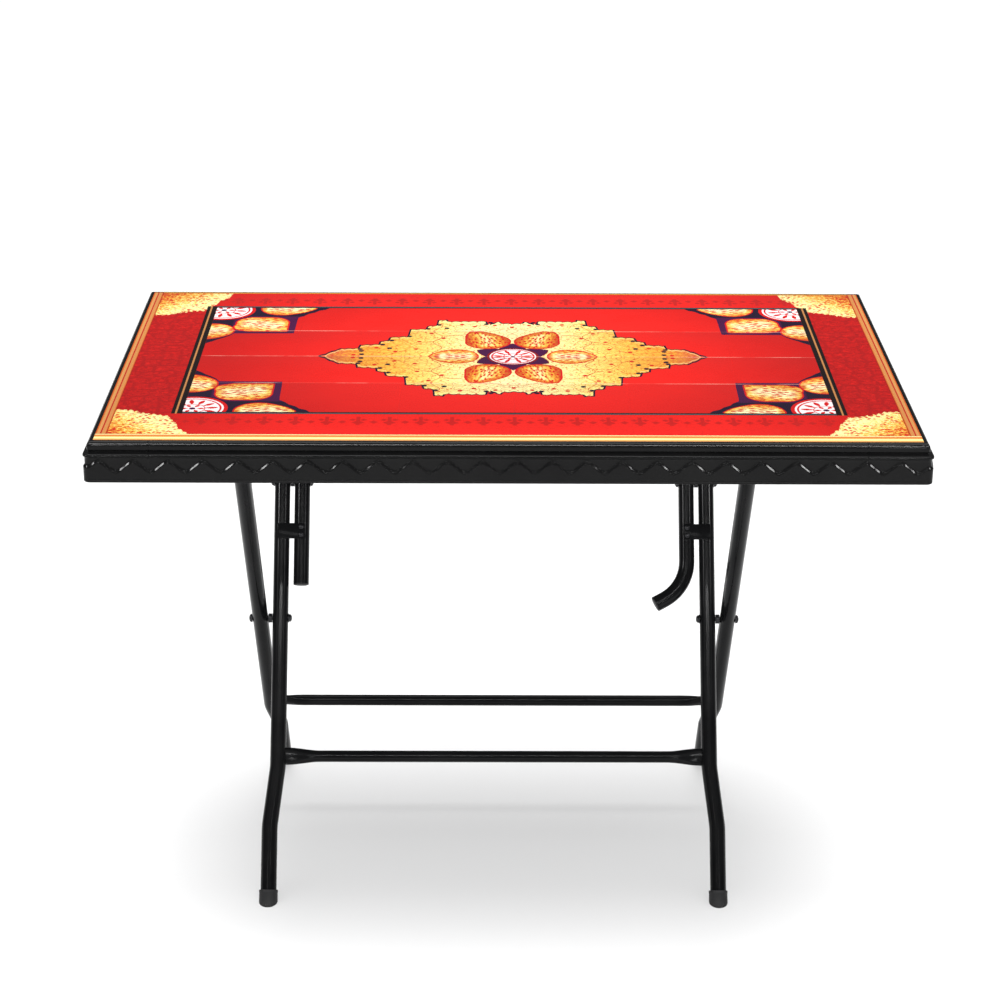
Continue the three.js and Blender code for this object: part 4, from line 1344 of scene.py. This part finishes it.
def studio():
    world = bpy.data.worlds.new("studio")
    bpy.context.scene.world = world
    world.use_nodes = True
    tree = world.node_tree
    place = tree.nodes.new("ShaderNodeTexCoord")
    split = tree.nodes.new("ShaderNodeSeparateXYZ")
    ramp = tree.nodes.new("ShaderNodeValToRGB")
    tree.links.new(place.outputs["Generated"], split.inputs[0])
    tree.links.new(split.outputs["Z"], ramp.inputs[0])
    marks = ramp.color_ramp.elements
    marks[0].position, marks[0].color = 0.45, (0.15, 0.15, 0.155, 1)
    marks[1].position, marks[1].color = 0.85, (1.0, 1.0, 1.0, 1)
    seen = tree.nodes.new("ShaderNodeLightPath")
    backdrop = tree.nodes.new("ShaderNodeMix")
    backdrop.data_type = "RGBA"
    backdrop.inputs[7].default_value = (1.4, 1.4, 1.4, 1)
    tree.links.new(seen.outputs["Is Camera Ray"], backdrop.inputs[0])
    tree.links.new(ramp.outputs[0], backdrop.inputs[6])
    tree.links.new(backdrop.outputs[2], tree.nodes["Background"].inputs[0])
    tree.nodes["Background"].inputs[1].default_value = 0.72

    floor = Sheets()
    corners = ((-1, -1), (1, -1), (1, 1), (-1, 1))
    floor.faces.append(tuple(floor.ring([(x * FLOOR_REACH, y * FLOOR_REACH, 0) for x, y in corners])))
    ground = floor.make("studio_floor")
    paper = Material("studio_paper", 0.9, specular=0.1)
    paper.colour((0.84, 0.84, 0.84, 1))
    ground.data.materials.append(paper.material)

    overhead = bpy.data.lights.new("overhead", "SUN")
    overhead.energy = 2.5
    overhead.angle = math.radians(42)
    lamp = bpy.data.objects.new("overhead", overhead)
    bpy.context.scene.collection.objects.link(lamp)
    lamp.rotation_euler = (math.radians(-7), 0, 0)
    for side in (-1, 1):
        area_light(
            f"side_box_{side}", place=(side * 2.67, -1.34, 2.21), aim=(side * 0.3, -0.32, 0.68),
            size=(0.5, 0.3), power=38,
        )
        area_light(
            f"leg_box_{side}", place=(side * 0.9, -2.6, 1.15), aim=(0, 0, 0.4),
            size=(0.03, 0.9), power=5,
        )
    area_light("front_strip", place=(0, -2.3, 2.35), aim=(0, -0.3, 0.7), size=(2.6, 0.05), power=34)
    bpy.context.scene.view_settings.view_transform = "Standard"


def camera():
    lens = bpy.data.cameras.new("camera")
    lens.lens = CAMERA_LENS
    lens.sensor_width = 36.0
    eye = bpy.data.objects.new("camera", lens)
    bpy.context.scene.collection.objects.link(eye)
    yaw, pitch, roll = (math.radians(angle) for angle in CAMERA_TURN)
    turn = (Matrix.Rotation(-yaw, 4, "Z") @ Matrix.Rotation(math.pi / 2 - pitch, 4, "X")
            @ Matrix.Rotation(-roll, 4, "Z"))
    eye.matrix_world = Matrix.Translation(CAMERA_PLACE) @ turn
    bpy.context.scene.camera = eye


# ---- the table
camera()
studio()
plastic = moulded_plastic()
coat = powder_coat()
black = black_hardware()
caps = cap_plastic()
zinc = zinc_steel()
tabletop_moulding(plastic)
film_piece(printed_film())
outer_frame(coat)
inner_legs(coat)
lever_frame(coat)
stretcher(coat, "outer_stretcher", "outer_frame", outer_up)
stretcher(coat, "inner_stretcher", "inner_frame", inner_up)
for side_name in SIDES:
    foot_cap(caps, "outer", side_name, outer_up, "outer_frame")
    foot_cap(caps, "inner", side_name, inner_up, "inner_frame")
plugs(caps)
bolts(black)
stop_plates(coat, black)
saddles(zinc)
